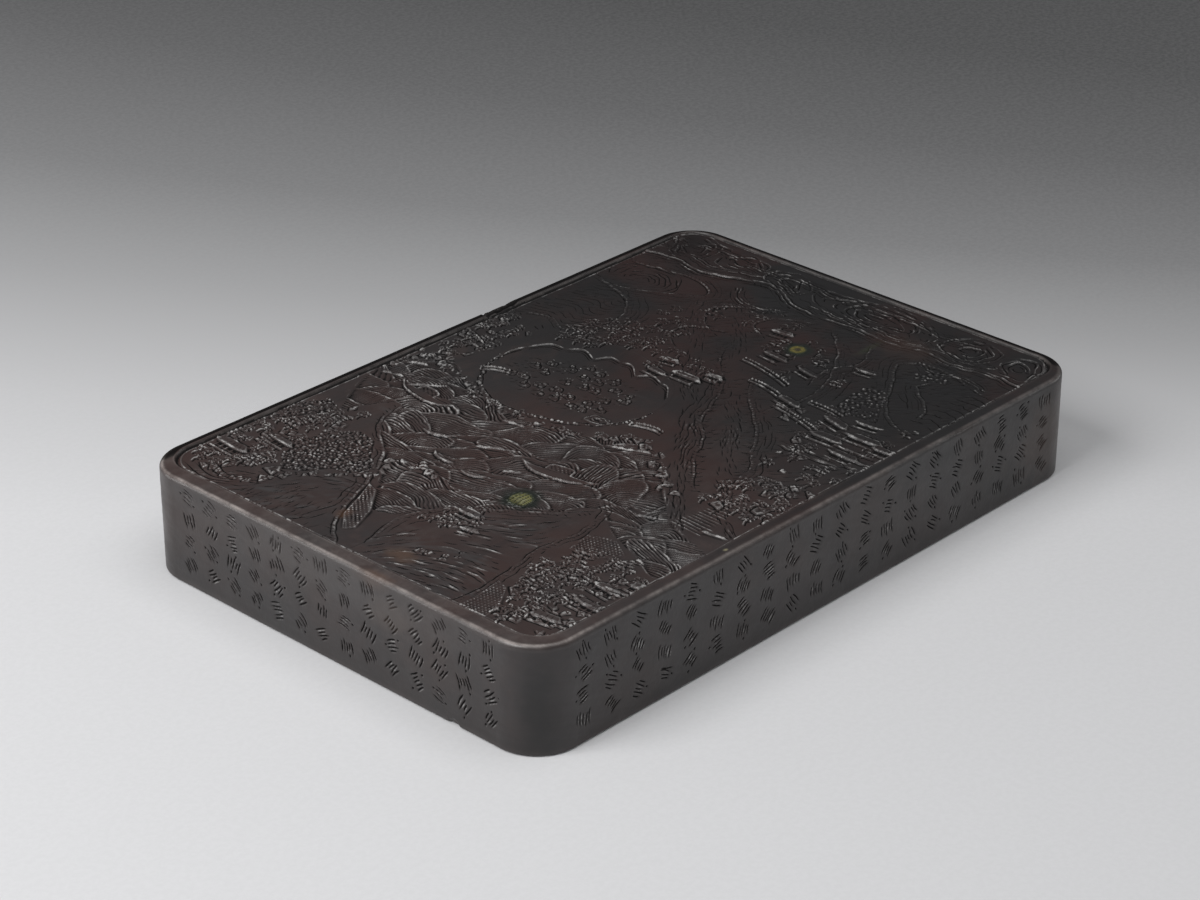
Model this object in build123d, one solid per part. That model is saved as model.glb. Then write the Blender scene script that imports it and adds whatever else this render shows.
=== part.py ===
"""A rectangular inkstone cut from one block of purple slate, with two natural eyes in its carved face.

The stone lies flat, with its long side along X, its short side along Y and its carved face up (+Z).
The origin is the middle of the underside. The carved landscape reads upright from the -X end, so its
sky and clouds lie along the +X rim. All sizes are in millimetres.
"""
from build123d import *
import os

# The block.
LENGTH = 300.0
WIDTH = 203.0
HEIGHT = 43.0
CORNER_RADIUS = 18.0
TOP_ROUND = 2.0
BASE_ROUND = 1.0

# The carved panel: a shallow field inside a plain rim, with a narrow border groove at the rim's foot.
# The rim is wide along the two sides nearest the reader, and narrow along the two far ones.
RIM_MINUS_X = 7.0
RIM_MINUS_Y = 6.0
RIM_PLUS_X = 3.0
RIM_PLUS_Y = 3.6
PANEL_CORNER = 13.0
PANEL_DEPTH = 1.8
GROOVE_WIDTH = 1.4
GROOVE_DEPTH = 0.7

# The underside is hollowed a little, so that the stone stands on a flat band round its edge.
FOOT_BAND = 13.0
FOOT_RECESS = 1.6

# Natural eyes: shallow nodules of pale green mineral whose faces lie flush with the panel.
EYES = {
    "stone_eye_large": {"at": (-73.0, -18.0), "radius": 5.2, "depth": 2.6},
    "stone_eye_small": {"at": (88.5, -10.5), "radius": 3.9, "depth": 2.0},
}

# Low relief standing on the panel, all of it lower than the rim.
CLOUD_RISE = 1.1
HILL_RISE = 0.8
STRATUM_RISE = 0.35
WALL_RISE = 0.9
ROOF_RISE = 1.0
ROCK_RISE = 0.6

PANEL_FLOOR = HEIGHT - PANEL_DEPTH
SUNK = 0.5  # how far relief is rooted in the panel, so that it fuses into the block

# The cloud bank along the +X rim: lobes as (x, y, radius).
CLOUD_LOBES = [
    (131, 80, 11), (135, 64, 9), (138, 48, 7), (135, 34, 8), (134, 18, 10),
    (132, 0, 12), (133, -18, 12), (133, -36, 12), (134, -54, 11), (132, -70, 9), (130, -82, 10),
]
CLOUD_EYES = [(132, 81), (131, -17), (131, -80)]

# The walled garden in the middle of the view.
GARDEN = {"at": (9, 30), "radii": (27, 37), "wall": 1.8}

# Hills as closed curves, each with a second, smaller stratum on top.
HILLS = [
    [(-140, 48), (-118, 62), (-92, 44), (-104, 28), (-126, 8), (-141, -6)],
    [(-138, -22), (-116, -8), (-92, -30), (-88, -48), (-116, -52), (-140, -60)],
    [(34, 92), (76, 92), (78, 66), (52, 58), (38, 70)],
    [(84, 92), (104, 88), (108, 66), (90, 50), (80, 70)],
    [(60, -46), (92, -42), (110, -58), (88, -74), (58, -78)],
    [(-22, -40), (6, -22), (34, -4), (30, -14), (-2, -38), (-28, -58)],
]

# Pavilions as (x, y, length, width, turn in degrees); each is a roof on a small terrace.
PAVILIONS = [
    (-116, 82, 11, 8, 90), (-108, -86, 14, 8, 0), (-128, -78, 10, 7, 20),
    (40, -70, 26, 7, 8), (52, -48, 22, 6, 12), (66, -14, 24, 5, 12), (30, -84, 20, 6, 0),
]

# Garden rocks and shore stones as (x, y, radius).
ROCKS = [
    (-3, 42, 3.0), (-4, 28, 2.8), (0, 14, 2.6), (12, 8, 2.4), (20, 22, 2.6), (18, 44, 3.0), (6, 56, 3.4),
    (-88, 52, 3.2), (-94, 58, 2.8), (-84, 60, 2.6), (-98, 64, 3.0), (-20, -78, 3.4), (-14, -74, 2.8),
]


def plate(inset, low, high):
    """A plate with the block's outline, drawn in by inset on every side, from height low to height high."""
    outline = RectangleRounded(LENGTH - 2 * inset, WIDTH - 2 * inset, CORNER_RADIUS - inset)
    return Pos(0, 0, low) * extrude(outline, amount=high - low)


def panel_plate(inset, low, high):
    """A plate with the panel's outline, drawn in by inset on every side, from height low to height high."""
    length = LENGTH - RIM_MINUS_X - RIM_PLUS_X - 2 * inset
    width = WIDTH - RIM_MINUS_Y - RIM_PLUS_Y - 2 * inset
    middle = Pos((RIM_MINUS_X - RIM_PLUS_X) / 2, (RIM_MINUS_Y - RIM_PLUS_Y) / 2, low)
    return middle * extrude(RectangleRounded(length, width, PANEL_CORNER - inset), amount=high - low)


def raised(outline, rise):
    """A low flat-topped form with this outline, kept inside the border groove."""
    form = Pos(0, 0, PANEL_FLOOR - SUNK) * extrude(outline, amount=rise + SUNK)
    return form & panel_plate(GROOVE_WIDTH, PANEL_FLOOR - SUNK, HEIGHT)


def block():
    """The squared block with rounded corners and eased top and bottom edges."""
    solid = plate(0, 0, HEIGHT)
    faces = solid.faces().sort_by(Axis.Z)
    solid = fillet(faces[-1].edges(), TOP_ROUND)
    return fillet(solid.faces().sort_by(Axis.Z)[0].edges(), BASE_ROUND)


def panel_cut():
    """What is cut from the top: the panel's field, and the groove at the foot of the rim."""
    field = panel_plate(0, PANEL_FLOOR, HEIGHT + 1)
    groove_floor = PANEL_FLOOR - GROOVE_DEPTH
    groove = panel_plate(0, groove_floor, HEIGHT) - panel_plate(GROOVE_WIDTH, groove_floor, HEIGHT)
    return field + groove


def foot_cut():
    """The shallow hollow in the underside."""
    return plate(FOOT_BAND, -1, FOOT_RECESS)


def eye(at, radius, depth):
    """A nodule: the part of a ball that lies below the panel's surface."""
    ball_radius = (radius**2 + depth**2) / (2 * depth)
    ball = Pos(*at, PANEL_FLOOR - depth + ball_radius) * Sphere(ball_radius)
    below = Pos(*at, PANEL_FLOOR - depth) * Box(4 * radius, 4 * radius, 2 * depth)
    return ball & below


def cloud_bank():
    """Overlapping lobes, with a round boss at the heart of each swirl."""
    lobes = Sketch() + [Pos(x, y) * Circle(r) for x, y, r in CLOUD_LOBES]
    bank = raised(lobes, CLOUD_RISE)
    bosses = [raised(Pos(x, y) * Circle(4), CLOUD_RISE + STRATUM_RISE) for x, y in CLOUD_EYES]
    return [bank, *bosses]


def hill(points):
    """A rounded hill with one stratum on top of it."""
    outline = make_face(Spline(*points, periodic=True))
    middle = outline.center()
    stratum = Pos(middle.X, middle.Y) * scale(Pos(-middle.X, -middle.Y) * outline, by=(0.6, 0.6, 1))
    return [raised(outline, HILL_RISE), raised(stratum, HILL_RISE + STRATUM_RISE)]


def garden_wall():
    """The oval wall round the garden."""
    radius_x, radius_y = GARDEN["radii"]
    wall = GARDEN["wall"]
    ring = Ellipse(radius_x, radius_y) - Ellipse(radius_x - wall, radius_y - wall)
    return raised(Pos(*GARDEN["at"]) * ring, WALL_RISE)


def pavilion(x, y, length, width, turn):
    """A terrace with a narrower roof on it."""
    place = Pos(x, y) * Rot(0, 0, turn)
    terrace = raised(place * Rectangle(length, width), ROCK_RISE)
    roof = raised(place * Rectangle(length * 0.8, width * 0.5), ROOF_RISE)
    return [terrace, roof]


def rock(x, y, radius):
    """A six-sided boulder."""
    return raised(Pos(x, y) * RegularPolygon(radius, 6), ROCK_RISE)


def relief():
    """Everything that stands on the panel."""
    forms = [*cloud_bank(), garden_wall()]
    for points in HILLS:
        forms += hill(points)
    for place in PAVILIONS:
        forms += pavilion(*place)
    forms += [rock(*place) for place in ROCKS]
    return forms


def stone_body(nodules):
    """The whole stone: the block, its cut panel and foot, its relief, and the seats of the nodules."""
    body = block() - panel_cut() - foot_cut()
    body = body + relief()
    for nodule in nodules:
        clearing = extrude(nodule.faces().sort_by(Axis.Z)[-1], amount=PANEL_DEPTH)
        body = body - [nodule, clearing]
    return body


def main():
    os.makedirs("parts", exist_ok=True)
    nodules = {name: eye(**size) for name, size in EYES.items()}
    parts = {"stone_body": stone_body(nodules.values()), **nodules}
    for name, shape in parts.items():
        shape.label = name
        export_step(shape, f"parts/{name}.step")
        print(f"{name}: {len(shape.solids())} solid, {shape.volume / 1000:.1f} cm3")


main()
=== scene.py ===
"""Looks of a carved slate inkstone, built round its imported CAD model.

Carving is worked out in millimetres on flat height fields: one for the face, whose carved sky lies along
the +X rim, and one for each pair of opposite sides. The heights are then wrapped on to one closed mesh.
"""
import math

import bpy
import numpy as np
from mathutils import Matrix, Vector

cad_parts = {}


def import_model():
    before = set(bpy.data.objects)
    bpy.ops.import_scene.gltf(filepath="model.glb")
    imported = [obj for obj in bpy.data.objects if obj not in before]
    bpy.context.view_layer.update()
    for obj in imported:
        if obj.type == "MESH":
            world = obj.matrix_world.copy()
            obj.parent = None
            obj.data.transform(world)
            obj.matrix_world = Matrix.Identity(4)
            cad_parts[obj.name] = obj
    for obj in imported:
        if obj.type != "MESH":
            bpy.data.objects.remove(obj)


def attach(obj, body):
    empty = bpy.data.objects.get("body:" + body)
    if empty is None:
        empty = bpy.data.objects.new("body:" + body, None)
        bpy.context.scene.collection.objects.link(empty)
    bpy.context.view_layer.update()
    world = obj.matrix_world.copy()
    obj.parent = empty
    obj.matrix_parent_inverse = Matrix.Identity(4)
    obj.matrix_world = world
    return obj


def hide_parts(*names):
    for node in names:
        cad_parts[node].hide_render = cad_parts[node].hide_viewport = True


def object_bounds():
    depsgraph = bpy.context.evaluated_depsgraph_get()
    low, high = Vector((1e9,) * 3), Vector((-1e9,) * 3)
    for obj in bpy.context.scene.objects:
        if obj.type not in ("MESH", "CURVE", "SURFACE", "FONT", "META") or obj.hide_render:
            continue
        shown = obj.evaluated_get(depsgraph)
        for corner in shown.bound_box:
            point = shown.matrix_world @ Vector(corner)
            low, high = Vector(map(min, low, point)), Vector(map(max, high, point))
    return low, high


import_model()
cad_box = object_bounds()

MM = 0.001

# The block, in millimetres. Its size comes from the CAD model.
low, high = cad_box
LENGTH = (high.x - low.x) / MM
WIDTH = (high.y - low.y) / MM
HEIGHT = (high.z - low.z) / MM
CORNER_RADIUS = 18.0
TOP_ROUND = 2.0
BASE_ROUND = 1.0
RIM_MINUS_X = 7.0
RIM_MINUS_Y = 6.0
RIM_PLUS_X = 3.0
RIM_PLUS_Y = 3.6
PANEL_CORNER = 13.0
PANEL_DEPTH = 1.7
FOOT_BAND = 13.0
FOOT_RECESS = 1.6

# Spacing of the height fields' cells in millimetres, and the source of the random draws.
CELL = 0.25
rng = np.random.default_rng(20)


# ---- Tools for working on a height field

def smooth(t):
    """Ease from 0 to 1 as t goes from 0 to 1."""
    t = np.clip(t, 0, 1)
    return t * t * (3 - 2 * t)


def hump(value, middle, width):
    """1 where the value is at the middle, falling smoothly to 0 a width or two away."""
    return np.exp(-((value - middle) / width)**2)


LATTICE = np.random.default_rng(5).random((256, 256)).astype(np.float32)


def noise(x, y, scale, seed):
    """Smooth noise from -1 to 1 that changes over about scale millimetres."""
    x = x / scale + 17.3 * seed
    y = y / scale + 41.7 * seed
    column, row = np.floor(x).astype(int), np.floor(y).astype(int)
    fx, fy = smooth(x - column), smooth(y - row)
    c0, c1, r0, r1 = column % 256, (column + 1) % 256, row % 256, (row + 1) % 256
    bottom = LATTICE[r0, c0] * (1 - fx) + LATTICE[r0, c1] * fx
    top = LATTICE[r1, c0] * (1 - fx) + LATTICE[r1, c1] * fx
    return 2 * (bottom * (1 - fy) + top * fy) - 1


def curve(points, step=0.8, closed=False, wobble=0.0, seed=0):
    """A smooth line through the points, sampled every step millimetres, with a hand-cut wobble."""
    p = np.asarray(points, float)
    if closed:
        p = np.vstack([p[-1], p, p[0], p[1]])
    else:
        p = np.vstack([2 * p[0] - p[1], p, 2 * p[-1] - p[-2]])
    out = []
    for a, b, c, d in zip(p[:-3], p[1:-2], p[2:-1], p[3:]):
        count = max(1, int(round(np.hypot(*(c - b)) / step)))
        t = np.linspace(0, 1, count, endpoint=False)[:, None]
        out.append(0.5 * (2 * b + (c - a) * t + (2 * a - 5 * b + 4 * c - d) * t**2
                          + (3 * b - a - 3 * c + d) * t**3))
    out.append(p[-2][None, :])
    line = np.vstack(out)
    if wobble:
        line = line + wobble * np.stack([noise(line[:, 0], line[:, 1], 3.0, seed + 1),
                                         noise(line[:, 0], line[:, 1], 3.0, seed + 2)], 1)
        if closed:
            line[-1] = line[0]
    return line


def beside(path, away):
    """A line that runs along a path, away millimetres to its left."""
    steps = np.gradient(path, axis=0)
    normal = np.stack([-steps[:, 1], steps[:, 0]], 1)
    normal /= np.maximum(np.hypot(*normal.T), 1e-6)[:, None]
    return path + normal * np.reshape(away, (-1, 1))


class Field:
    """A flat surface being carved: broad forms, raised lines and cuts, in millimetres, and pale grey patches
    that are partly painted sheen.
    """

    def __init__(self, half_x, half_y):
        self.xs = np.arange(-half_x, half_x + CELL / 2, CELL).astype(np.float32)
        self.ys = np.arange(-half_y, half_y + CELL / 2, CELL).astype(np.float32)
        shape = (len(self.ys), len(self.xs))
        self.ground = np.zeros(shape, np.float32)
        self.proud = np.zeros(shape, np.float32)
        self.cut = np.zeros(shape, np.float32)
        self.bloom_and_sheen = np.zeros(shape, np.float32)

    def heights(self):
        """The carved surface: ground and raised lines, less the cuts."""
        return self.ground + self.proud - self.cut

    def window(self, points, reach):
        """The part of the grid within reach of the points: its index and its coordinates."""
        (x0, y0), (x1, y1) = points.min(0) - reach, points.max(0) + reach
        c0, c1 = np.searchsorted(self.xs, (x0, x1))
        r0, r1 = np.searchsorted(self.ys, (y0, y1))
        at = (slice(r0, r1), slice(c0, c1))
        return at, self.xs[at[1]][None, :], self.ys[at[0]][:, None]

    def distance(self, points, reach):
        """A window, each cell's distance from the line, and how far along the line it is, from 0 to 1."""
        at, x, y = self.window(points, reach)
        best = np.full((y.shape[0], x.shape[1]), reach, np.float32)
        along = np.zeros_like(best)
        steps = np.diff(points, axis=0)
        lengths = np.hypot(steps[:, 0], steps[:, 1])
        total, gone = max(lengths.sum(), 1e-6), 0.0
        for (ax, ay), (dx, dy), length in zip(points[:-1], steps, lengths):
            if length < 1e-6:
                continue
            t = np.clip(((x - ax) * dx + (y - ay) * dy) / length**2, 0, 1)
            away = np.hypot(x - ax - t * dx, y - ay - t * dy)
            nearer = away < best
            best[nearer] = away[nearer]
            along[nearer] = ((gone + t * length) / total)[nearer]
            gone += length
        return at, best, along

    def stroke(self, points, width, amount, layer="cut", taper=0.25):
        """Cut or raise a line of this full width. It thins out over the taper at both ends."""
        points = np.asarray(points, float)
        target = getattr(self, layer)
        runs = max(1, math.ceil((len(points) - 1) / 12))
        edges = np.linspace(0, len(points) - 1, runs + 1).astype(int)
        for first, last in zip(edges[:-1], edges[1:]):
            at, away, along = self.distance(points[first:last + 1], width)
            if not away.size:
                continue
            along = (first + along * (last - first)) / (len(points) - 1)
            strength = amount
            if taper:
                strength = amount * (0.25 + 0.75 * smooth(np.minimum(along, 1 - along) / taper))
            profile = smooth(1 - away / (width / 2))
            target[at] = np.maximum(target[at], strength * profile)

    def inside(self, points):
        """A window with the signed distance from a closed outline, positive inside."""
        points = np.asarray(points, float)
        loop = np.vstack([points, points[0]])
        at, x, y = self.window(points, 3.0)
        within = np.zeros((y.shape[0], x.shape[1]), bool)
        best = np.full(within.shape, 99.0, np.float32)
        for (ax, ay), (bx, by) in zip(loop[:-1], loop[1:]):
            dx, dy = bx - ax, by - ay
            if dy:
                within ^= ((ay > y) != (by > y)) & (x < dx * (y - ay) / dy + ax)
            t = np.clip(((x - ax) * dx + (y - ay) * dy) / max(dx * dx + dy * dy, 1e-9), 0, 1)
            best = np.minimum(best, np.hypot(x - ax - t * dx, y - ay - t * dy))
        return at, np.where(within, best, -best), x, y

    def mass(self, outline, rise, fall, floor, edge=0.5):
        """A form like cut paper: its edge stands rise high, and it sinks inwards over fall to floor."""
        at, depth_in, _, _ = self.inside(outline)
        mask = smooth(depth_in / edge)
        height = floor + (rise - floor) * np.exp(-np.maximum(depth_in, 0) / fall)
        self.ground[at] = self.ground[at] * (1 - mask) + height * mask
        keep = 1 - smooth((depth_in + 0.5) / 0.5)
        self.cut[at] *= keep
        self.proud[at] *= keep

    def hatch(self, outline, pitch, depth, turn):
        """Fill an outline with parallel lines."""
        at, depth_in, x, y = self.inside(outline)
        across = x * math.cos(turn) + y * math.sin(turn) + 0.15 * noise(x, y, 2.2, 4)
        wave = 0.5 + 0.5 * np.cos(2 * np.pi * across / pitch)
        amount = depth * wave * smooth((depth_in - 0.2) / 0.6) * (0.8 + 0.35 * noise(x, y, 4.0, 6))
        self.cut[at] = np.maximum(self.cut[at], amount)

    def bead(self, x, y, radius, height, squash=1.0, turn=0.0):
        """A small dome in a shallow ring-shaped cut."""
        at, gx, gy = self.window(np.array([[x, y]]), 1.6 * radius + 0.5)
        a, b = gx - x, gy - y
        c, s = math.cos(turn), math.sin(turn)
        away = np.hypot(a * c + b * s, (b * c - a * s) * squash) / radius
        dome = height * np.sqrt(np.clip(1 - away**2, 0, 1))
        self.proud[at] = np.maximum(self.proud[at], dome)
        ring = 0.45 * height * smooth(1 - np.abs(away - 1.2) / 0.4)
        self.cut[at] = np.maximum(self.cut[at], ring)

    def spread(self, outline, gap, margin=1.0, jitter=0.35):
        """Places inside an outline, about gap apart."""
        outline = np.asarray(outline, float)
        _, depth_in, gx, gy = self.inside(outline)
        (x0, y0), (x1, y1) = outline.min(0), outline.max(0)
        places = []
        for row, x in enumerate(np.arange(x0, x1, gap * 0.87)):
            for y in np.arange(y0 + gap / 2 * (row % 2), y1, gap):
                px, py = np.array([x, y]) + rng.uniform(-jitter, jitter, 2) * gap
                i, j = int((py - gy[0, 0]) / CELL), int((px - gx[0, 0]) / CELL)
                if 0 <= i < depth_in.shape[0] and 0 <= j < depth_in.shape[1] and depth_in[i, j] > margin:
                    places.append((px, py))
        return places


# ---- Motifs of the carved landscape. Those that are placed are drawn across and up, as seen from -X.

face = Field(LENGTH / 2, WIDTH / 2)


def placed(x, y, turn, size=1.0):
    """Turns points given as (across, up) round a place on the face into face coordinates."""
    c, s = math.cos(turn) * size, math.sin(turn) * size

    def put(points):
        """The points on the face."""
        p = np.asarray(points, float).reshape(-1, 2)
        return np.stack([x + c * p[:, 1] + s * p[:, 0], y + s * p[:, 1] - c * p[:, 0]], 1)
    return put


def scatter(places, usual, other, every, smallest, largest):
    """The usual motif at each place, except for one place in every few, which takes the other."""
    for k, (x, y) in enumerate(places):
        motif = other if k % every == 0 else usual
        motif(x, y, rng.uniform(smallest, largest))


def tree(x, y, radius, stem=True):
    """A crown of small scalloped leaves over dark gaps, on a stem."""
    put = placed(x, y, rng.uniform(-0.3, 0.3))
    if stem:
        trunk = curve([(0.3, -1.9 * radius), (-0.3, -1.1 * radius), (0.1, -0.3 * radius)])
        face.stroke(put(trunk), 0.85, 0.45, "proud", taper=0)
        face.stroke(put(trunk + (0.8, 0)), 0.6, 0.45, taper=0)
    for k in range(int(3 + 3.2 * radius)):
        angle, away = 2.4 * k, radius * math.sqrt((k + 0.5) / (3 + 3.2 * radius))
        a, b = np.array([away * math.cos(angle), 0.85 * away * math.sin(angle)]) + rng.uniform(-0.3, 0.3, 2)
        arc = np.array([(a - 0.85, b - 0.35), (a - 0.4, b + 0.45), (a + 0.4, b + 0.45), (a + 0.85, b - 0.35)])
        face.stroke(put(arc), 0.7, rng.uniform(0.25, 0.55), "proud", taper=0)
        face.stroke(put([(a - 0.5, b - 0.6), (a + 0.5, b - 0.6)]), 0.65, 0.42, taper=0)


def pine(x, y, tall, lean=0.15):
    """A bent trunk, with fans of needles on short boughs."""
    put = placed(x, y, rng.uniform(-0.25, 0.25))
    bends = [(0, 0), (lean * tall * 0.7, tall * 0.3), (-lean * tall * 0.3, tall * 0.62), (lean * tall, tall)]
    trunk = curve(bends, 0.9)
    face.stroke(put(trunk), 1.1, 0.5, "proud", taper=0.6)
    face.stroke(put(trunk + (0.85, 0)), 0.65, 0.55, taper=0.3)
    for share in (0.42, 0.6, 0.76, 0.9, 1.0):
        at = trunk[int(share * (len(trunk) - 1))]
        for side in (-1, 1):
            out = side * tall * rng.uniform(0.16, 0.34) * (1.25 - share)
            bough = at + (out, tall * rng.uniform(0.0, 0.09))
            face.stroke(put([at, bough]), 0.7, 0.5, "proud", taper=0)
            reach = tall * rng.uniform(0.1, 0.16)
            for angle in np.linspace(0, math.pi, 7):
                way = np.array([math.cos(angle), math.sin(angle)]) * rng.uniform(0.8, 1.1) * reach
                face.stroke(put([bough + 0.3 * way, bough + way]), 0.6, 0.5, "proud", taper=0)
            face.stroke(put([bough - (reach, 0.5), bough + (reach, -0.5)]), 0.7, 0.55, taper=0)


def hut(x, y, wide, tall, turn=0.0):
    """A hall: a tiled roof with lifted eaves over posts on a step."""
    put = placed(x, y, turn)
    eave, bays = tall * rng.uniform(0.42, 0.55), int(rng.integers(2, 5))
    tip = eave + 0.12 * tall
    roof = [(-0.62, tip), (-0.4, tall), (0.4, tall), (0.62, tip), (0.45, eave), (-0.45, eave)]
    face.mass(put(np.array(roof) * (wide, 1)), 0.6, 30, 0.45)
    below = [(-0.45, eave), (0.45, eave), (0.42, 0), (-0.42, 0)]
    face.mass(put(np.array(below) * (wide, 1)), -0.25, 30, -0.25)
    for share in np.linspace(-0.9, 0.9, max(4, int(wide / 2.0))):
        tile_row = [(share * 0.38 * wide, tall - 0.4), (share * 0.5 * wide, eave + 0.5)]
        face.stroke(put(tile_row), 0.6, 0.3, taper=0.4)
    lines = [[(-0.44, tall), (0.44, tall)],
             [(-0.68, eave + 0.2 * tall), (-0.42, eave), (0.42, eave), (0.68, eave + 0.2 * tall)],
             [(-0.54, 0), (0.54, 0)], [(-0.4, eave * 0.45), (0.4, eave * 0.45)]]
    for line, width, height in zip(lines, (0.8, 0.85, 0.8, 0.6), (0.6, 0.75, 0.5, 0.25)):
        line = put(np.array(line) * (wide, 1))
        face.stroke(line, width, height * rng.uniform(0.6, 1.2), "proud", taper=0.15)
    for share in np.linspace(-0.38, 0.38, bays + 1):
        post = put([(share * wide, 0), (share * wide, eave)])
        face.stroke(post, 0.7, rng.uniform(0.25, 0.6), "proud", taper=0.2)
    face.stroke(put([(-0.56 * wide, -1.0), (0.56 * wide, -1.0)]), 0.8, 0.6, taper=0.1)


def boat(x, y, long, turn, cabin):
    """A slim boat, with or without a mat cabin."""
    put = placed(x, y, turn)
    hull = long * curve([(-0.5, 0.12), (-0.3, -0.02), (0, -0.06), (0.3, -0.02), (0.5, 0.12)], 0.04)
    deck = long * curve([(0.5, 0.12), (0.25, 0.07), (-0.25, 0.07), (-0.5, 0.12)], 0.04)
    face.mass(put(np.vstack([hull, deck])), 0.15, 20, 0.05)
    face.stroke(put(hull), 0.75, 0.6, "proud", taper=0.3)
    face.stroke(put(hull - (0, 0.9)), 0.7, 0.55, taper=0.3)
    face.stroke(put(deck), 0.6, 0.4, "proud", taper=0.3)
    face.stroke(put(hull + (0, 0.9)), 0.6, 0.35, taper=0.4)
    if cabin:
        top = long * curve([(-0.17, 0.07), (-0.13, 0.2), (0.13, 0.2), (0.17, 0.07)], 0.04)
        face.mass(put(top), 0.3, 20, 0.25)
        face.stroke(put(top), 0.7, 0.5, "proud", taper=0)
        for slant in (0.7, -0.7):
            face.hatch(put(top), 1.4, 0.45, slant)


def bridge(x, y, long, turn, arch=0.12, bars=10):
    """A railed bridge: two long lines with posts between them."""
    put = placed(x, y, turn)
    a = np.linspace(-0.5, 0.5, 9) * long
    rise = arch * long * (1 - (2 * a / long)**2)
    upper, lower = curve(np.stack([a, rise + 1.9], 1)), curve(np.stack([a, rise], 1))
    face.mass(put(np.vstack([upper, lower[::-1]])), -0.2, 20, -0.2)
    for line, height in ((upper, 0.8), (lower, 0.6)):
        broken(put(line), 0.85, height, "proud")
    face.stroke(put(lower - (0, 1.0)), 0.8, 0.7, taper=0.05)
    for share in np.linspace(0.04, 0.96, bars):
        top, foot = upper[int(share * (len(upper) - 1))], lower[int(share * (len(lower) - 1))]
        face.stroke(put([top, foot]), 0.6, 0.65, "proud", taper=0)
        px, py = put([top])[0]
        face.bead(px, py, 0.5, 0.9)


def figure(x, y, size):
    """A tiny figure: a robe with a fold in it, and a head."""
    put = placed(x, y, rng.uniform(-0.4, 0.4), size)
    robe = curve([(-1.0, 0), (-0.8, 1.5), (0, 2.1), (0.8, 1.5), (1.0, 0)], 0.5, closed=True)
    face.mass(put(robe), 0.15, 1.2, 0.0, edge=0.4)
    face.stroke(put(beside(robe, 0.5)), 0.6, 0.55, taper=0)
    face.stroke(put([(0, 0.2), (0.1, 1.5)]), 0.5, 0.45, taper=0)
    px, py = put([(0.1, 2.6)])[0]
    face.bead(px, py, 0.5 * size, 0.28)


def rock(x, y, radius):
    """An angular boulder with cracks, a raised edge and a dark foot."""
    angles = np.sort(rng.uniform(0, 2 * math.pi, 7))
    reach = radius * rng.uniform(0.75, 1.15, 7)
    middle = np.array([x, y])
    outline = middle + np.stack([reach * np.cos(angles), reach * np.sin(angles)], 1)
    face.mass(outline, 0.5, radius * 0.8, 0.225, edge=0.4)
    face.stroke(np.vstack([outline, outline[:1]]), 0.6, 0.22, "proud", taper=0)
    face.stroke(middle + 1.25 * (outline[:5] - middle), 0.8, 0.55, taper=0.3)
    for corner in outline[::2]:
        inner_end = middle + 0.2 * (corner[::-1] - middle[::-1])
        face.stroke([corner * 0.85 + middle * 0.15, inner_end], 0.6, 0.5, taper=0.3)


def brushed(outline, gap, aim, long, width, depth, layer="cut", bend=0.35):
    """Short strokes in patches over a slope. They lean one way, with a slow swing."""
    for x, y in face.spread(outline, gap, 1.0):
        if noise(np.float64(x), np.float64(y), 9, 14) < rng.uniform(-0.7, 0.35):
            continue
        angle = aim + bend * float(noise(np.float64(x), np.float64(y), 22, 9)) + rng.normal(0, 0.08)
        half = long * rng.uniform(0.3, 0.7)
        way = np.array([math.cos(angle), math.sin(angle)]) * half
        bow = np.array([-way[1], way[0]]) * rng.uniform(-0.15, 0.15)
        here = np.array([x, y])
        wide, deep = width * rng.uniform(0.8, 1.3), depth * rng.uniform(0.5, 1.3)
        face.stroke([here - way, here + bow, here + way], wide, deep, layer, taper=0.45)


def ridge(points, rise, fall, side, lines, gap, teeth=2.2, seed=0):
    """A mountain edge: ground that stands up to a broken line, with strata and short cuts inside it."""
    path = curve(points, 1.2, wobble=0.5, seed=seed)
    at, away, along = face.distance(path, fall * 1.6)
    x, y = face.xs[at[1]][None, :], face.ys[at[0]][:, None]
    steps = np.diff(path, axis=0)
    index = np.clip((along * (len(path) - 1)).astype(int), 0, len(steps) - 1)
    turned = steps[index, 0] * (y - path[index, 1]) - steps[index, 1] * (x - path[index, 0])
    ends = smooth(np.minimum(along, 1 - along) / 0.12)
    lift = rise * np.exp(-away / fall) * ends * smooth((fall * 1.6 - away) / (fall * 0.6))
    face.ground[at] += np.where(turned * side > 0, lift, 0)
    broken(path, 0.7, 0.5)
    for k in range(1, lines + 1):
        trim = int(len(path) * 0.08 * k * rng.uniform(0.5, 1.3))
        inner = path[trim:len(path) - trim]
        if len(inner) > 5:
            drift = gap * k * (1 + 0.2 * noise(inner[:, 0], inner[:, 1], 7.0, k + seed))
            broken(beside(inner, side * drift), 0.7, 0.42)
    for k in range(2, len(path) - 3, 2):
        start = path[k] + rng.uniform(-0.4, 0.4, 2)
        inward = side * (beside(path[k - 1:k + 2], 1.0)[1] - path[k])
        lean = path[k + 1] - path[k]
        long = teeth * rng.uniform(0.5, 1.6)
        end = start + long * inward + 0.45 * long * lean
        face.stroke([start + 0.6 * inward, end], 0.7, 0.45, taper=0.6)


def broken(path, width, depth, layer="cut"):
    """A line in a few runs with small gaps, cut unless another layer is asked for."""
    cuts = sorted(rng.choice(len(path), len(path) // 14, replace=False)) if len(path) > 20 else []
    for piece in np.split(path, cuts):
        if len(piece) > 3:
            wide, deep = width * rng.uniform(0.85, 1.15), depth * rng.uniform(0.7, 1.2)
            face.stroke(piece[:-1], wide, deep, layer, taper=0.25)


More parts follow.
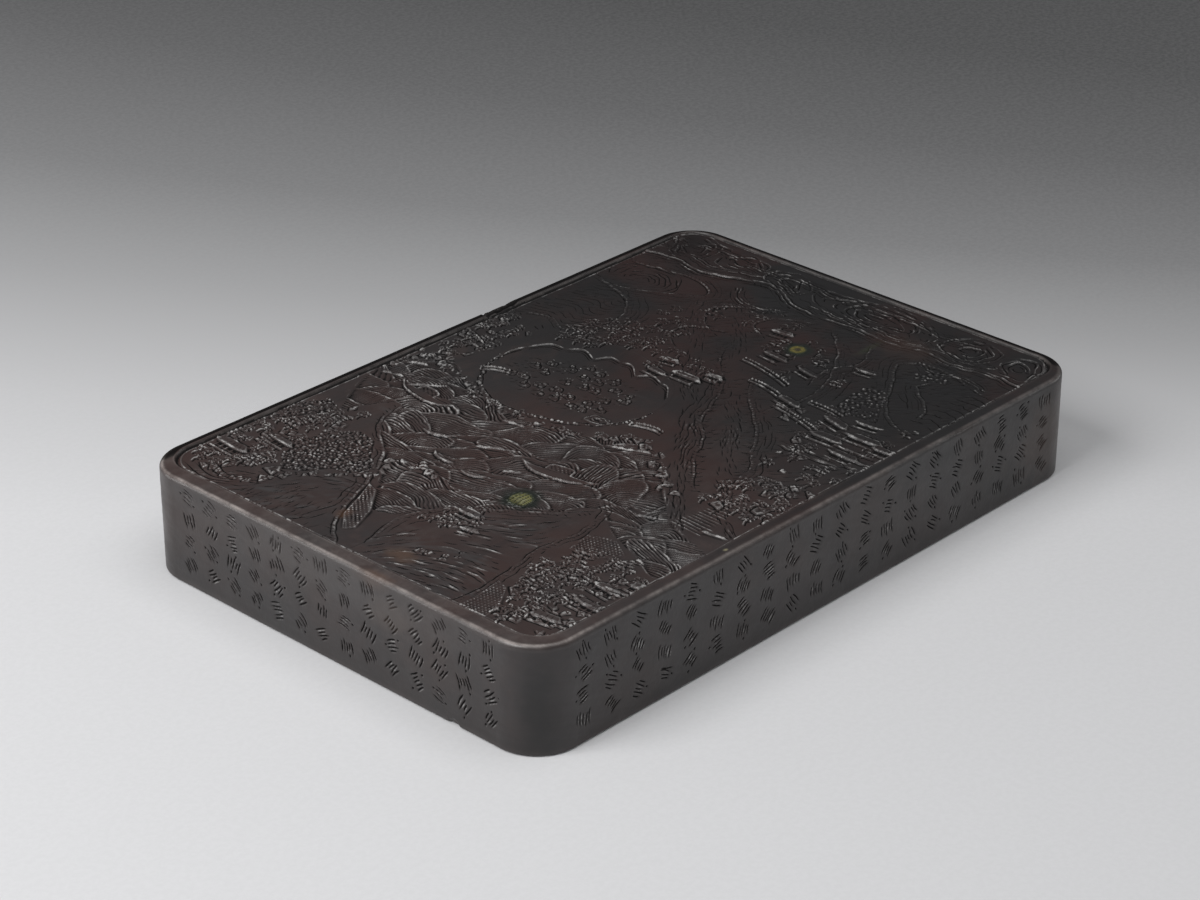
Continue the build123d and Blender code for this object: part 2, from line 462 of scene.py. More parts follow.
def scroll(x, y, long, wide, turns, turn):
    """Nested wavy ovals of cloud, raised at their lips."""
    lobes = rng.uniform(0.88, 1.12, 11)
    c, s = math.cos(turn), math.sin(turn)
    for k in range(turns):
        share = 1 - k / (turns + 0.4)
        angle = np.linspace(0, 2 * math.pi, 11, endpoint=False) + 0.3 * k
        reach = lobes * (1 + 0.07 * rng.normal(size=11)) * share / 2
        a, b = reach * long * np.cos(angle), reach * wide * np.sin(angle)
        lobed = np.stack([x + c * a - s * b, y + s * a + c * b], 1)
        loop = curve(lobed, 0.9, closed=True, wobble=0.4, seed=k)
        if k == 0:
            face.mass(loop, 0.5, 5.0, 0.1)
        loop = np.roll(loop, int(rng.integers(len(loop))), 0)[:int(len(loop) * rng.uniform(0.78, 0.98))]
        broken(loop, 0.8, 0.45, "proud")
        broken(beside(loop, 1.0), 0.8, 0.6)


def double_line(points, gap=1.7, width=0.75, height=0.5, seed=0):
    """Two raised lines side by side with cuts between and beside them, as at the edge of a cloud."""
    path = curve(points, 1.0, wobble=0.6, seed=seed)
    for away, amount, layer in ((-0.5, height, "proud"), (0.5, 0.85 * height, "proud"), (0, 0.65, "cut"),
                                (1.1, 0.6, "cut"), (-1.1, 0.5, "cut"), (-2.0, 0.4, "cut"), (2.0, 0.4, "cut")):
        broken(beside(path, away * gap), width, amount, layer)


# ---- The landscape, from the far ground to the near

def broad_forms():
    """Gentle swells of the whole panel, the smooth river that crosses it, and light dressing marks."""
    x, y = face.xs[None, :], face.ys[:, None]
    face.ground += 0.25 * noise(x, y, 46, 1) + 0.15 * noise(x, y, 21, 2) + 0.05 * noise(x, y, 6, 8)
    river = curve([(-60, -96), (-40, -74), (-12, -50), (20, -26), (48, -2), (76, 20), (104, 42)], 3)
    at, away, _ = face.distance(river, 20)
    face.ground[at] -= 0.8 * smooth(1 - away / 15)
    plain = np.array([(-30, -96), (-8, -60), (30, -20), (60, 10), (40, 40), (50, 96), (118, 96), (118, -96)])
    # Long pale grey streaks over the plain, partly the slate's tone and partly painted sheen.
    brushed(plain, 7.0, 2.3, 18, 3.0, 0.45, "bloom_and_sheen")
    brushed(plain, 3.6, 2.25, 6, 0.7, 0.3)
    for side, aim in ((1, 0.62), (-1, 0.75)):
        bank = beside(river, side * 13.0)
        brushed(np.vstack([bank, beside(river, side * 4.0)[::-1]]), 2.0, aim, 7, 0.65, 0.42, bend=0.25)


LAKE_SHORE = [
    (-90, 66), (-66, 84), (-34, 97), (-8, 88), (-20, 62), (-27, 34), (-23, 2), (-10, -16),
    (-16, -34), (-34, -52), (-50, -72), (-60, -97), (-92, -97), (-80, -70), (-66, -54), (-60, -44),
    (-72, -34), (-84, -20), (-96, -4), (-112, 6), (-114, 18), (-100, 28), (-88, 38), (-80, 50),
]


def water():
    """The lake: overlapping fans of fine arcs, like ragged fish scales."""
    at, depth_in, gx, gy = face.inside(curve(LAKE_SHORE, 3, closed=True)[:-1])
    mask = smooth(depth_in / 1.2)
    x = gx + 2.6 * noise(gx, gy, 15, 31) + 0.5 * noise(gx, gy, 4, 33)
    y = gy + 2.6 * noise(gx, gy, 15, 32) + 0.5 * noise(gx, gy, 4, 34)
    level = -0.25 * np.ones(depth_in.shape, np.float32)
    lines, bloom_and_sheen = np.zeros_like(level), np.zeros_like(level)
    centres = [(cx + rng.uniform(-4, 4), cy + rng.uniform(-5, 5))
               for row, cx in enumerate(np.arange(-114, 8, 9.0))
               for cy in np.arange(-106 + 9 * (row % 2), 108, 17)]
    for cx, cy in sorted(centres, key=lambda c: -c[0] - 0.3 * c[1]):
        long, wide, lean = rng.uniform(11, 19), rng.uniform(7, 12), rng.normal(0.2, 0.5)
        c, s = math.cos(lean), math.sin(lean)
        a, b = (x - cx) * c + (y - cy) * s, -(x - cx) * s + (y - cy) * c
        reach = np.hypot(a / wide, b / long)
        over = smooth((1 - reach) / 0.06)
        arcs = np.hypot(a + rng.uniform(3, 16), (b + rng.uniform(-8, 8)) * rng.uniform(0.5, 0.9))
        arcs = arcs + 0.5 * noise(x, y, 8.0, int(cx) % 9) + 0.15 * noise(gx, gy, 2.0, 5)
        wave = 0.5 + 0.5 * np.cos(2 * np.pi * arcs / rng.uniform(1.1, 1.35))
        strength = rng.uniform(0.48, 0.78) * (0.8 + 0.4 * noise(x, y, 5.0, 7))
        level = level * (1 - over) + over * (-0.35 + 0.55 * np.clip(reach, 0, 1)**2)
        lines = lines * (1 - over) + over * strength * wave * smooth((1 - reach) / 0.14)
        # Some fans turn pale grey: partly the slate's tone, partly painted sheen.
        bloom_and_sheen = bloom_and_sheen * (1 - over) + over * max(0, rng.normal(0.2, 0.4)) * (0.6 + 0.4 * noise(x, y, 6.0, 13))
    face.bloom_and_sheen[at] = np.maximum(face.bloom_and_sheen[at], mask * bloom_and_sheen)
    face.ground[at] += mask * level
    face.cut[at] = face.cut[at] * (1 - mask) + mask * lines


# Far hills as (crest, fall of the slope, side that stands up, lines inside it, seed of the wobble).
FAR_HILLS = (
    ([(36, 97), (44, 82), (40, 68), (50, 60), (66, 62), (78, 74), (84, 97)], 9, -1, 8, 14),
    ([(86, 97), (84, 82), (92, 64), (102, 50), (110, 62), (108, 80), (104, 97)], 8, -1, 8, 13),
    ([(60, -97), (64, -78), (76, -66), (92, -56), (106, -48), (112, -62), (106, -84), (104, -97)],
     9, 1, 7, 13),
    ([(78, 22), (84, 34), (96, 40), (104, 30), (110, 14)], 7, 1, 7, 11),
    ([(88, 6), (94, 16), (104, 14), (112, -4)], 5, 1, 6, 8),
    ([(66, -34), (82, -30), (96, -36), (112, -28)], 6, -1, 6, 9),
    ([(58, 26), (66, 36), (76, 34), (84, 20)], 5, 1, 6, 8),
    ([(72, -84), (84, -78), (94, -66), (102, -68)], 5, 1, 7, 9),
)
FAR_PEBBLES = (
    [(57, -53), (60, -74), (83, -60), (84, -52), (72, -50)],
    [(86, 38), (92, 44), (99, 39), (94, 32)],
    [(98, -62), (104, -56), (110, -64), (106, -74)],
)


def far_shore():
    """Hills under the sky, with folds, pebbles and small trees."""
    for points, fall, side, lines, seed in FAR_HILLS:
        ridge(points, 0.3, fall, side, lines, 1.5, seed=seed)
    for k in range(14):
        chevron = [(40 + 2.9 * k, 95 - 0.4 * k), (45 + 2.9 * k, 84 - 0.6 * k),
                   (41 + 2.9 * k, 74 - 0.3 * k), (45 + 2.8 * k, 65)]
        broken(curve(chevron, 1.0, wobble=0.6, seed=k), 0.65, 0.5)
    for k in range(7):
        r = 2.5 + 2.1 * k
        arc = [(96 + 0.9 * r * math.cos(t), 78 + 1.1 * r * math.sin(t)) for t in np.linspace(-1.9, 2.1, 8)]
        broken(curve(arc, 1.0, wobble=0.8, seed=k + 20), 0.85, 0.6)
    for outline in FAR_PEBBLES:
        pebbles(outline, 1.9, 0.5)
    for k in range(8):
        line = [(66 + 4.6 * k, -97), (72 + 4.2 * k, -88 - 0.4 * k), (70 + 4.4 * k, -79)]
        broken(curve(line, 1.0, wobble=0.9, seed=k), 0.9, 0.6)
    brushed([(84, -70), (96, -56), (104, -52), (108, -70), (104, -90), (88, -92)], 3.6, 2.2, 5, 0.9, 0.35)
    for places, size in ((face.spread([(84, 40), (100, 44), (112, 30), (112, 4), (96, 0), (84, 18)], 9), 2.6),
                         (face.spread([(56, 56), (84, 60), (88, 40), (70, 30), (56, 40)], 9), 3.0)):
        for px, py in places:
            tree(px, py, size * rng.uniform(0.7, 1.1), stem=rng.random() < 0.5)


def pebbles(outline, spacing, height):
    """Close-set beads over an outline, with deep gaps."""
    at, depth_in, _, _ = face.inside(outline)
    face.cut[at] = np.maximum(face.cut[at], 0.3 * smooth(depth_in / 0.6))
    for px, py in face.spread(outline, spacing, 0.3, 0.42):
        radius, dome = 0.5 * spacing * rng.uniform(0.65, 1.25), height * rng.uniform(0.6, 1.4)
        face.bead(px, py, radius, dome, rng.uniform(1.0, 1.8), rng.uniform(0, 3))


CLOUD_EDGE = [
    (114, 101), (119, 84), (117, 66), (123, 48), (126, 34), (118, 18), (116, 2), (118, -16), (116, -32),
    (120, -48), (118, -62), (122, -78), (119, -101),
]
# Swirls of cloud as (x, y, length, width, turns, slant).
SWIRLS = (
    (133, 82, 23, 26, 4, 0.15), (135, 58, 14, 26, 3, 0.1), (133, 32, 15, 26, 3, -0.2),
    (131, -16, 23, 62, 6, 0.0), (133, -60, 18, 26, 4, 0.1), (133, -84, 17, 20, 4, -0.1),
)
# Lines that follow the cloud, as (points, seed of the wobble).
CLOUD_LINES = (
    ([(134, 98), (137, 74), (135, 50), (137, 30), (134, 6)], 5),
    ([(124, 98), (127, 80), (124, 66), (129, 50), (132, 38), (125, 20)], 2),
    ([(123, 12), (121, -4), (123, -20), (121, -36), (125, -50), (124, -66), (128, -80)], 7),
    ([(112, 14), (106, 26), (109, 38), (118, 46)], 6),
    ([(114, -50), (108, -62), (112, -74), (108, -88)], 8),
    ([(136, -6), (138, -28), (135, -46), (138, -66)], 9),
)


def sky():
    """The bank of cloud along the +X rim."""
    face.mass(np.vstack([curve(CLOUD_EDGE, 2), [(152, -101), (152, 101)]]), 0.5, 7, 0.3)
    for swirl in SWIRLS:
        scroll(*swirl)
    double_line(CLOUD_EDGE, seed=3)
    for points, seed in CLOUD_LINES:
        double_line(points, 1.4, 0.7, 0.45, seed=seed)
    for k in range(26):
        x, y = rng.uniform(122, 139), 96 - 7.4 * k + rng.uniform(-2, 2)
        wisp = [(x - 3, y - 5), (x, y - 1.5), (x - 0.5, y + 2.5), (x + 2.5, y + 6)]
        broken(curve(wisp, 1.0, wobble=0.5, seed=k), 0.7, 0.45)


# Halls as (x, y, width, height, slant).
GARDEN_HALLS = ((37, 5, 12, 6.5, 0.05), (33, 17, 9, 5.5, -0.1), (44, 19, 8, 5, 0.2), (45, -3, 7, 5, 0.1))
EAST_HALLS = (
    (74, -8, 11, 6, -0.1), (72, -26, 9, 5, -0.2), (48, -37, 11, 6, -0.2), (46, -61, 12, 6.5, -0.25),
    (34, -67, 13, 7, 0.0), (27, -81, 12, 6.5, 0.0), (42, -79, 15, 6.5, 0.05), (53, -73, 11, 6, 0.1),
    (40, -91, 12, 6, 0.0), (92, 3, 9, 6, 0.1), (88, -43, 8, 5, 0.1),
)
SOUTH_HALLS = (
    (-131, -84, 11, 6.5, 0.15), (-116, -89, 13, 7, 0.0), (-104, -85, 11, 7, -0.1),
    (-95, -93, 9, 6, 0.0), (-128, -94, 8, 5, 0.0),
)


def island_outline():
    """A slightly lobed oval round the garden."""
    points = []
    for t in np.linspace(0, 2 * math.pi, 24, endpoint=False):
        reach_x = 34 * (1 + 0.05 * math.sin(3 * t))
        reach_y = 40 * (1 + 0.04 * math.cos(2 * t))
        points.append((9 + reach_x * math.cos(t), 32 + reach_y * math.sin(t)))
    return points


def garden():
    """A walled garden on an island, with small groups of figures."""
    ring = island_outline()
    face.mass(curve(ring, 1.2, closed=True)[:-1], 0.25, 5.0, -0.15)
    near = curve([p for p in ring if p[0] < 14], 1.0, wobble=0.5)
    for share in np.linspace(0, 1, 60):
        px, py = near[int(share * (len(near) - 1))] + rng.uniform(-0.8, 0.8, 2)
        radius, dome = rng.uniform(0.4, 1.0), rng.uniform(0.3, 0.8)
        face.bead(px, py, radius, dome, rng.uniform(1, 2.0), rng.uniform(0, 3))
    broken(near + (1.4, 0), 0.8, 0.7)
    broken(near - (1.4, 0), 0.8, 0.5)
    scallops = [(0, 70), (18, 68), (27, 56), (28, 42), (33, 32), (28, 20), (30, 8), (22, -2)]
    for (ax, ay), (bx, by) in zip(scallops[:-1], scallops[1:]):
        bulge = ((ax + bx) / 2 + 0.18 * abs(by - ay) + 1.2, (ay + by) / 2 + 1.0)
        arc = curve([(ax, ay), bulge, (bx, by)], 0.7)
        face.stroke(arc, 0.8, 0.6, "proud", taper=0.2)
        face.stroke(arc - (1.0, 0.4), 0.7, 0.6, taper=0.2)
        face.stroke(arc - (2.4, 0.8), 0.65, 0.45, taper=0.2)
    lawn = [(0, 64), (14, 62), (24, 44), (24, 26), (20, 6), (6, 2), (-10, 8), (-14, 28), (-10, 50)]
    brushed(lawn, 6, 2.0, 10, 2.6, 0.5, "bloom_and_sheen")
    brushed(lawn, 2.6, 2.3, 3, 0.6, 0.35)
    for px, py in face.spread(lawn, 8.0, 2.0, 0.3):
        mat = [(px - 1.6, py + 2.6), (px + 1.4, py + 1.6), (px + 1.6, py - 1.6), (px - 1.4, py - 2.6)]
        broken(curve(mat, 0.8, closed=True, wobble=0.4), 0.8, 0.65)
        for _ in range(2):
            figure(*(px, py) + rng.uniform(-2.0, 2.0, 2), rng.uniform(0.55, 0.75))
        for _ in range(8):
            start = (px, py) + rng.uniform(-3.2, 3.2, 2)
            tuft = [start, start + rng.uniform(-1.5, 1.5, 2)]
            face.stroke(tuft, 0.6, rng.uniform(0.15, 0.4), "proud", taper=0.2)
    scroll(-10, 4, 7, 12, 3, 0.1)
    wood = [(30, 70), (40, 74), (60, 60), (68, 46), (62, 30), (50, 34), (38, 44), (32, 56)]
    for k, (px, py) in enumerate(face.spread(wood, 6.2, 0.5)):
        tree(px, py, rng.uniform(2.2, 3.4))
        if k % 5 == 0:
            pine(px - 4, py + 2, 9)
    for hall in GARDEN_HALLS:
        hut(*hall)
    for px, py in face.spread([(36, 30), (56, 30), (62, 6), (50, -6), (38, 12)], 7):
        tree(px, py, rng.uniform(1.8, 2.8))
    bridge(-3, -14, 14, 0.2)


# Bridges as (x, y, length, slant, arch, bars), and fences as (x, first y, last y).
EAST_BRIDGES = (
    (64, -14, 30, -0.24, 0.04, 16), (53, -24, 20, -0.2, 0.06, 12),
    (41, -50, 32, -0.26, 0.04, 18), (55, -52, 17, -0.1, 0.05, 9),
)
EAST_FENCES = ((22.5, -56, -88), (26.0, -58, -94), (36.5, -62, -94), (46.0, -66, -92), (31.0, -74, -96))


def fence(x, first, last, bow, proud, cut):
    """A long bowed rail that runs across the view, with a cut at its foot."""
    rail = curve([(x, first), (x + bow, (first + last) / 2), (x + 0.4, last)], 1.0, wobble=0.4)
    broken(rail, 0.8, proud, "proud")
    broken(rail - (1.0, 0), 0.7, cut)


def east_bank():
    """Halls, galleries and bridges beyond the river, on the viewer's right."""
    upper = [(-24, -58), (-6, -42), (8, -34), (20, -22), (34, -16), (48, -8), (60, 4), (74, 14)]
    lower = [(-30, -76), (-14, -66), (0, -62), (10, -54), (22, -46), (34, -34), (46, -22), (60, -12)]
    ridge(upper, 0.15, 5, 1, 5, 1.5, 2.4, seed=3)
    ridge(lower, 0.15, 5, -1, 5, 1.5, 2.4, seed=4)
    ridge([(36, -34), (58, -40), (76, -36), (96, -24), (112, -8)], 0.3, 6, -1, 5, 1.6, seed=5)
    for bank in (upper, lower):
        path = curve(bank, 1.3)
        for px, py in path + rng.normal(0, 2.0, path.shape):
            blade = [(px - 1.3, py + 1.0), (px + 1.2, py - 1.2)] + rng.normal(0, 0.5, (2, 2))
            face.stroke(blade, 0.65, 0.45, taper=0.4)
    town = [(6, -64), (28, -54), (44, -36), (60, -46), (62, -70), (56, -92), (30, -97), (-6, -92)]
    scatter(face.spread(town, 8.2, 0.5), tree, rock, 3, 1.7, 2.8)
    park = [(60, -12), (84, 4), (100, -8), (98, -26), (76, -34), (62, -30)]
    scatter(face.spread(park, 7.5), tree, rock, 2, 1.5, 2.6)
    for crossing in EAST_BRIDGES:
        bridge(*crossing)
    for hall in EAST_HALLS:
        hut(*hall)
    for x, y0, y1 in EAST_FENCES:
        fence(x, y0, y1, -0.6, 0.7, 0.6)
    for px, py in ((80, -24), (70, -42), (60, -62), (18, -64), (12, -82), (56, -86), (82, 0)):
        pine(px, py, rng.uniform(7, 10))


# Boats as (x, y, length, slant, whether it has a cabin), and poles as (x, y) of the foot and of the head.
BOATS = (
    (-52, -14, 34, 0.14, True), (-40, 68, 30, -0.12, True), (-58, 40, 14, 0.3, False),
    (-74, -62, 13, 0.1, False), (-70, 26, 12, -0.2, False), (-72, 8, 11, 0.2, False),
)
POLES = (
    (-56, 24, -47, 8), (-37, 93, -33, 84), (5, 87, 4, 77), (-89, -44, -85, -54), (-38, 78, -28, 66),
    (-22, -12, -15, -30), (-54, -56, -50, -64), (12, 92, 8, 82), (-62, 2, -58, -4), (-46, -80, -45, -92),
    (-24, 92, -20, 84), (-84, 30, -80, 22), (-34, 30, -32, 20),
)
ISLAND_SHORE = [
    (-46, 97), (-30, 98), (-12, 88), (-20, 66), (-26, 42), (-24, 6), (-12, -14), (-18, -34), (-34, -52),
]


def lake_craft():
    """Boats, poles, a stepped landing and the rocky edge of the lake."""
    for craft in BOATS:
        boat(*craft)
    for ax, ay, bx, by in POLES:
        face.stroke([(ax, ay), (bx, by)], 1.0, 0.95, "proud", taper=0.15)
        face.stroke([(ax + 1.1, ay + 0.4), (bx + 1.1, by + 0.4)], 0.8, 0.6, taper=0.15)
    for k in range(11):
        x = -48 + 1.75 * k + rng.uniform(-0.2, 0.2)
        stair = [(x, -67 - 0.3 * k), (x - 0.6, -83 + rng.uniform(-1.5, 1.5))]
        face.stroke(stair, 0.9, 0.42, "proud", taper=0.2)
    shore = curve(ISLAND_SHORE, 3.1)
    scatter(shore + rng.normal(0, 1.4, shore.shape), rock, tree, 4, 1.1, 2.5)
    north_point = [(-16, 97), (-8, 80), (8, 76), (28, 74), (38, 97)]
    scatter(face.spread(north_point, 5.6, 0.3), tree, rock, 3, 1.8, 3.2)
    south_point = [(-30, -62), (-12, -62), (4, -70), (2, -97), (-32, -97)]
    scatter(face.spread(south_point, 6.0, 0.3), tree, rock, 4, 2.0, 3.4)
    bridge(-6, 62, 12, 0.5, 0.1, 7)
    for k in range(6):
        y = -22.5 + 1.8 * k
        face.stroke([(-79, y - 1.0), (-73, y + 0.4), (-67, y - 0.4)], 0.75, 0.6, taper=0.3)


def thatch(outline, slants):
    """A raised patch with crossed hatching."""
    face.mass(outline, 0.5, 20, 0.3)
    for slant in slants:
        face.hatch(outline, 1.4, 0.55, slant)


def west_hill():
    """The near hill on the viewer's left: a bare slope under a thick wood, with a hall in the corner."""
    edge = [(-142, 4), (-128, 18), (-112, 26), (-100, 31), (-88, 38),
            (-80, 45), (-72, 56), (-64, 63), (-50, 68)]
    hill = curve([(-152, 0), *edge, (-62, 78), (-84, 86), (-100, 104), (-152, 101)], 2.5)
    face.mass(hill, 0.12, 11, 0.05)
    ridge(edge, 0.08, 5, 1, 3, 1.7, 2.6)
    slope = [(-143, 66), (-118, 60), (-100, 42), (-104, 32), (-122, 24), (-142, 8)]
    brushed(slope, 5.0, 2.1, 20, 3.2, 0.8, "bloom_and_sheen", bend=0.7)
    brushed(slope, 6.0, 2.2, 12, 1.2, 0.3, bend=0.7)
    brushed(slope, 3.2, 2.5, 5, 0.7, 0.4, bend=0.9)
    brushed([(-143, 92), (-124, 70), (-112, 56), (-143, 58)], 3.4, 2.0, 6, 0.8, 0.4)
    thatch([(-132, 12), (-124, 20), (-112, 25), (-102, 30), (-104, 24), (-116, 14), (-128, 9)], (0.9, -0.7))
    pebbles([(-117, 62), (-108, 70), (-96, 74), (-84, 70), (-76, 62), (-78, 52),
             (-86, 46), (-92, 38), (-100, 36), (-104, 48), (-112, 54)], 1.4, 0.45)
    pebbles([(-98, 96), (-84, 88), (-70, 80), (-66, 90), (-78, 97)], 1.4, 0.4)
    corner = [(-134, 90), (-120, 62), (-104, 72), (-78, 68), (-62, 70), (-66, 84), (-84, 97), (-128, 97)]
    scatter(face.spread(corner, 6.0, 0.3), tree, rock, 4, 1.8, 3.4)
    for px, py, tall in ((-126, 74, 13), (-112, 84, 11), (-96, 86, 12), (-82, 76, 10), (-116, 96, 9)):
        pine(px, py, tall)
    hut(-122, 88, 14, 8)
    hut(-106, 77, 9, 6, -0.1)
    foot = [(-134, 84), (-132, 66), (-118, 56), (-106, 44), (-96, 32), (-86, 36), (-78, 28), (-84, 18)]
    foot = curve(foot, 3.6)
    for px, py in foot + rng.normal(0, 0.8, foot.shape):
        rock(px, py, rng.uniform(1.2, 2.6))
    for k in range(5):
        fold = [(-140 + 2.6 * k, 94 - 3 * k), (-142 + 2.4 * k, 78 - 1.5 * k), (-136 + 2.2 * k, 64)]
        face.stroke(curve(fold, 1.2), 1.0, 0.5, taper=0.3)


def south_hill():
    """The near hills in the middle and on the viewer's right, with cottages and pines."""
    crest = [(-134, -1), (-112, 4), (-96, -4), (-84, -18), (-72, -34), (-60, -46)]
    middle_hill = [(-152, 3), *crest, (-76, -50), (-94, -48), (-112, -51), (-131, -53), (-152, -56)]
    face.mass(curve(middle_hill, 2.5), 0.14, 10, 0.05)
    ridge(crest, 0.08, 5, -1, 3, 2.2, 2.6, seed=11)
    field = [(-143, 0), (-120, -2), (-100, -8), (-86, -24), (-74, -42), (-100, -47), (-130, -51), (-143, -52)]
    brushed(field, 5.0, 2.2, 24, 3.4, 0.9, "bloom_and_sheen", bend=0.7)
    brushed(field, 7.0, 2.2, 16, 1.5, 0.35, "proud", bend=0.7)
    brushed(field, 3.6, 2.3, 6, 0.7, 0.42, bend=0.9)
    hilltop = [(-108, 0), (-92, -6), (-84, -20), (-100, -22), (-108, -12)]
    scatter(face.spread(hilltop, 4.6, 0.2), tree, rock, 4, 1.6, 2.6)
    hut(-97, -13, 9, 5.5)
    hut(-105, -22, 7, 4.5, 0.2)
    for px, py in face.spread([(-136, -12), (-124, -18), (-112, -34), (-116, -44), (-128, -32)], 6.5, 0.3):
        rock(px, py, rng.uniform(1.0, 1.9))
    top = [(-143, -52), (-131, -53), (-112, -51), (-94, -48), (-76, -50), (-64, -47)]
    right_hill = [(-152, -50), *top[1:], (-66, -54), (-72, -66), (-76, -78),
                  (-82, -90), (-84, -104), (-152, -104)]
    face.mass(curve(right_hill, 2.5), 0.14, 9, 0.0)
    ridge([*top, (-57, -42), (-43, -19)], 0.08, 5, -1, 2, 1.7, 2.4, seed=13)
    thatch([(-142, -56), (-132, -56), (-120, -54), (-122, -60), (-134, -68), (-141, -68)], (0.2, 1.5))
    thatch([(-88, -56), (-76, -54), (-72, -64), (-78, -74), (-86, -68)], (0.2, 1.5))
    grove = [(-138, -70), (-120, -58), (-90, -54), (-80, -62), (-84, -92), (-110, -80), (-140, -78)]
    scatter(face.spread(grove, 5.6, 0.2), tree, rock, 5, 1.8, 3.2)
    for px, py, tall in ((-122, -64, 12), (-108, -70, 11), (-96, -62, 12),
                         (-134, -76, 10), (-90, -80, 11), (-118, -80, 9)):
        pine(px, py, tall, 0.2)
    for hall in SOUTH_HALLS:
        hut(*hall)
    for x, y0, y1 in ((-111, -76, -96), (-98, -72, -96), (-122, -72, -92)):
        fence(x, y0, y1, -0.8, 0.55, 0.5)
    for px, py in face.spread([(-140, -86), (-122, -76), (-88, -84), (-82, -97), (-140, -97)], 7.0, 0.3):
        rock(px, py, rng.uniform(1.2, 2.2))


def settle():
    """The far half is cut more lightly than the near half, and the ground rises towards the far rims."""
    weight = 1 - 0.30 * smooth((face.xs - 15) / 45)[None, :]
    face.proud *= weight
    face.cut *= weight
    face.ground += 0.85 * smooth((face.xs - 130) / 12)[None, :]
    face.ground += 0.5 * smooth((face.ys - 84) / 10)[:, None]


broad_forms()
water()
far_shore()
sky()
garden()
east_bank()
lake_craft()
west_hill()
south_hill()
settle()


# ---- The sides: generic chiselled nicks where the real stone bears an inscription

MARK_ROWS = (36.6, 27.8, 18.9, 9.6)
MARK_PITCH = {"x": 11.8, "y": 13.4}
NICK_GAP = 1.5
NICK_DEPTH = 0.6


def side_field(half_long, pitch):
    """One side of the block, with columns of marks. Each mark is a cluster of nicks."""
    side = Field(half_long, HEIGHT / 2)
    x, y = side.xs[None, :], side.ys[:, None]
    side.ground += 0.07 * noise(x, y, 24, 11) + 0.03 * noise(x, y, 7, 12)
    columns = np.arange(-half_long + 4.5, half_long - 3.5, pitch)
    for column in columns:
        for height in MARK_ROWS:
            middle = np.array([column, height - HEIGHT / 2]) + rng.uniform(-0.5, 0.5, 2)
            nick_cluster(side, middle, rng.uniform(0.85, 1.05))
    return side


def nick_cluster(side, middle, size):
    """A bundle of four or five side-by-side nicks at any slant, with up to two short ones past its ends."""
    angle, count = rng.uniform(0.25, 2.85), int(rng.integers(4, 6))
    way = np.array([math.cos(angle), math.sin(angle)])
    across = np.array([-math.sin(angle), math.cos(angle)])
    nicks = []
    for k in range(count):
        nicks.append(((k - (count - 1) / 2) * NICK_GAP, rng.uniform(-0.5, 0.5), rng.uniform(1.7, 3.3)))
    for end in (-1, 1)[:rng.integers(0, 3)]:
        nicks.append((rng.uniform(-2.4, 2.4), end * rng.uniform(3.7, 4.1), 0.5))
    for aside, ahead, half in nicks:
        at = middle + size * (aside * across + ahead * way)
        tilt = half * (way + rng.uniform(-0.12, 0.12) * across)
        bend = rng.uniform(-0.12, 0.12) * half * across
        side.stroke([at - tilt, at + bend, at + tilt], rng.uniform(0.7, 0.9), NICK_DEPTH, taper=0.3)


side_fields = {
    "x": side_field(WIDTH / 2 - CORNER_RADIUS, MARK_PITCH["x"]),
    "y": side_field(LENGTH / 2 - CORNER_RADIUS, MARK_PITCH["y"]),
}
side_marks = {key: field.heights() for key, field in side_fields.items()}


# ---- From height fields to one closed mesh

def blurred(values, radius):
    """A box blur, done twice, of a height field."""
    span = max(1, int(round(radius / CELL)))
    for _ in range(2):
        for axis in (0, 1):
            wide = np.pad(values, [(span + 1, span) if a == axis else (0, 0) for a in (0, 1)], "edge")
            total = np.cumsum(wide, axis=axis, dtype=np.float64)
            count = values.shape[axis]
            ahead = np.take(total, range(2 * span + 1, 2 * span + 1 + count), axis)
            behind = np.take(total, range(count), axis)
            values = ((ahead - behind) / (2 * span + 1)).astype(np.float32)
    return values


def sampled(field, values, x, y):
    """Values of a field at any points, by linear interpolation."""
    u = np.clip((x - field.xs[0]) / CELL, 0, values.shape[1] - 1.001)
    v = np.clip((y - field.ys[0]) / CELL, 0, values.shape[0] - 1.001)
    i, j = u.astype(int), v.astype(int)
    fu, fv = u - i, v - j
    below = values[j, i] * (1 - fu) + values[j, i + 1] * fu
    above = values[j + 1, i] * (1 - fu) + values[j + 1, i + 1] * fu
    return below * (1 - fv) + above * fv


def inside_rounded(x, y, half_x, half_y, radius):
    """Distance in from the edge of a rounded rectangle round the origin, seen from above."""
    qx = np.abs(x) - (half_x - radius)
    qy = np.abs(y) - (half_y - radius)
    outside = np.hypot(np.maximum(qx, 0), np.maximum(qy, 0)) + np.minimum(np.maximum(qx, qy), 0)
    return radius - outside


# The eyes, as (middle, radius). Each lies in a seat cut in the panel, and laps over the seat's edge.
EYES = {"stone_eye_large": ((-73.0, -18.0), 5.2), "stone_eye_small": ((88.5, -10.5), 3.9)}
EYE_SEAT = 1.2
EYE_LAP = 0.5

# Damage: a nick with a shallow loss beside it in the +Y rim, and a chip at the foot of the -X side.
NICK_X = 26.3
NICK_HALF_WIDTH = 2.0
NICK_FALL = 2.2
LOSS_X = 34.0
LOSS_HALF_WIDTH = 9.0
LOSS_FALL = 1.1
DAMAGED_FROM_Y = 94.0
FOOT_CHIP_Y = -61.0

relief = face.heights()
fine = relief - blurred(relief, 0.9)
coarse = relief - blurred(relief, 3.5)


def inside_rim(x, y):
    """Distance in from the rim's inner edge, seen from above. The rim is narrower along the two far sides."""
    half_x = (LENGTH - RIM_MINUS_X - RIM_PLUS_X) / 2
    half_y = (WIDTH - RIM_MINUS_Y - RIM_PLUS_Y) / 2
    x, y = x - (RIM_MINUS_X - RIM_PLUS_X) / 2, y - (RIM_MINUS_Y - RIM_PLUS_Y) / 2
    return inside_rounded(x, y, half_x, half_y, PANEL_CORNER)


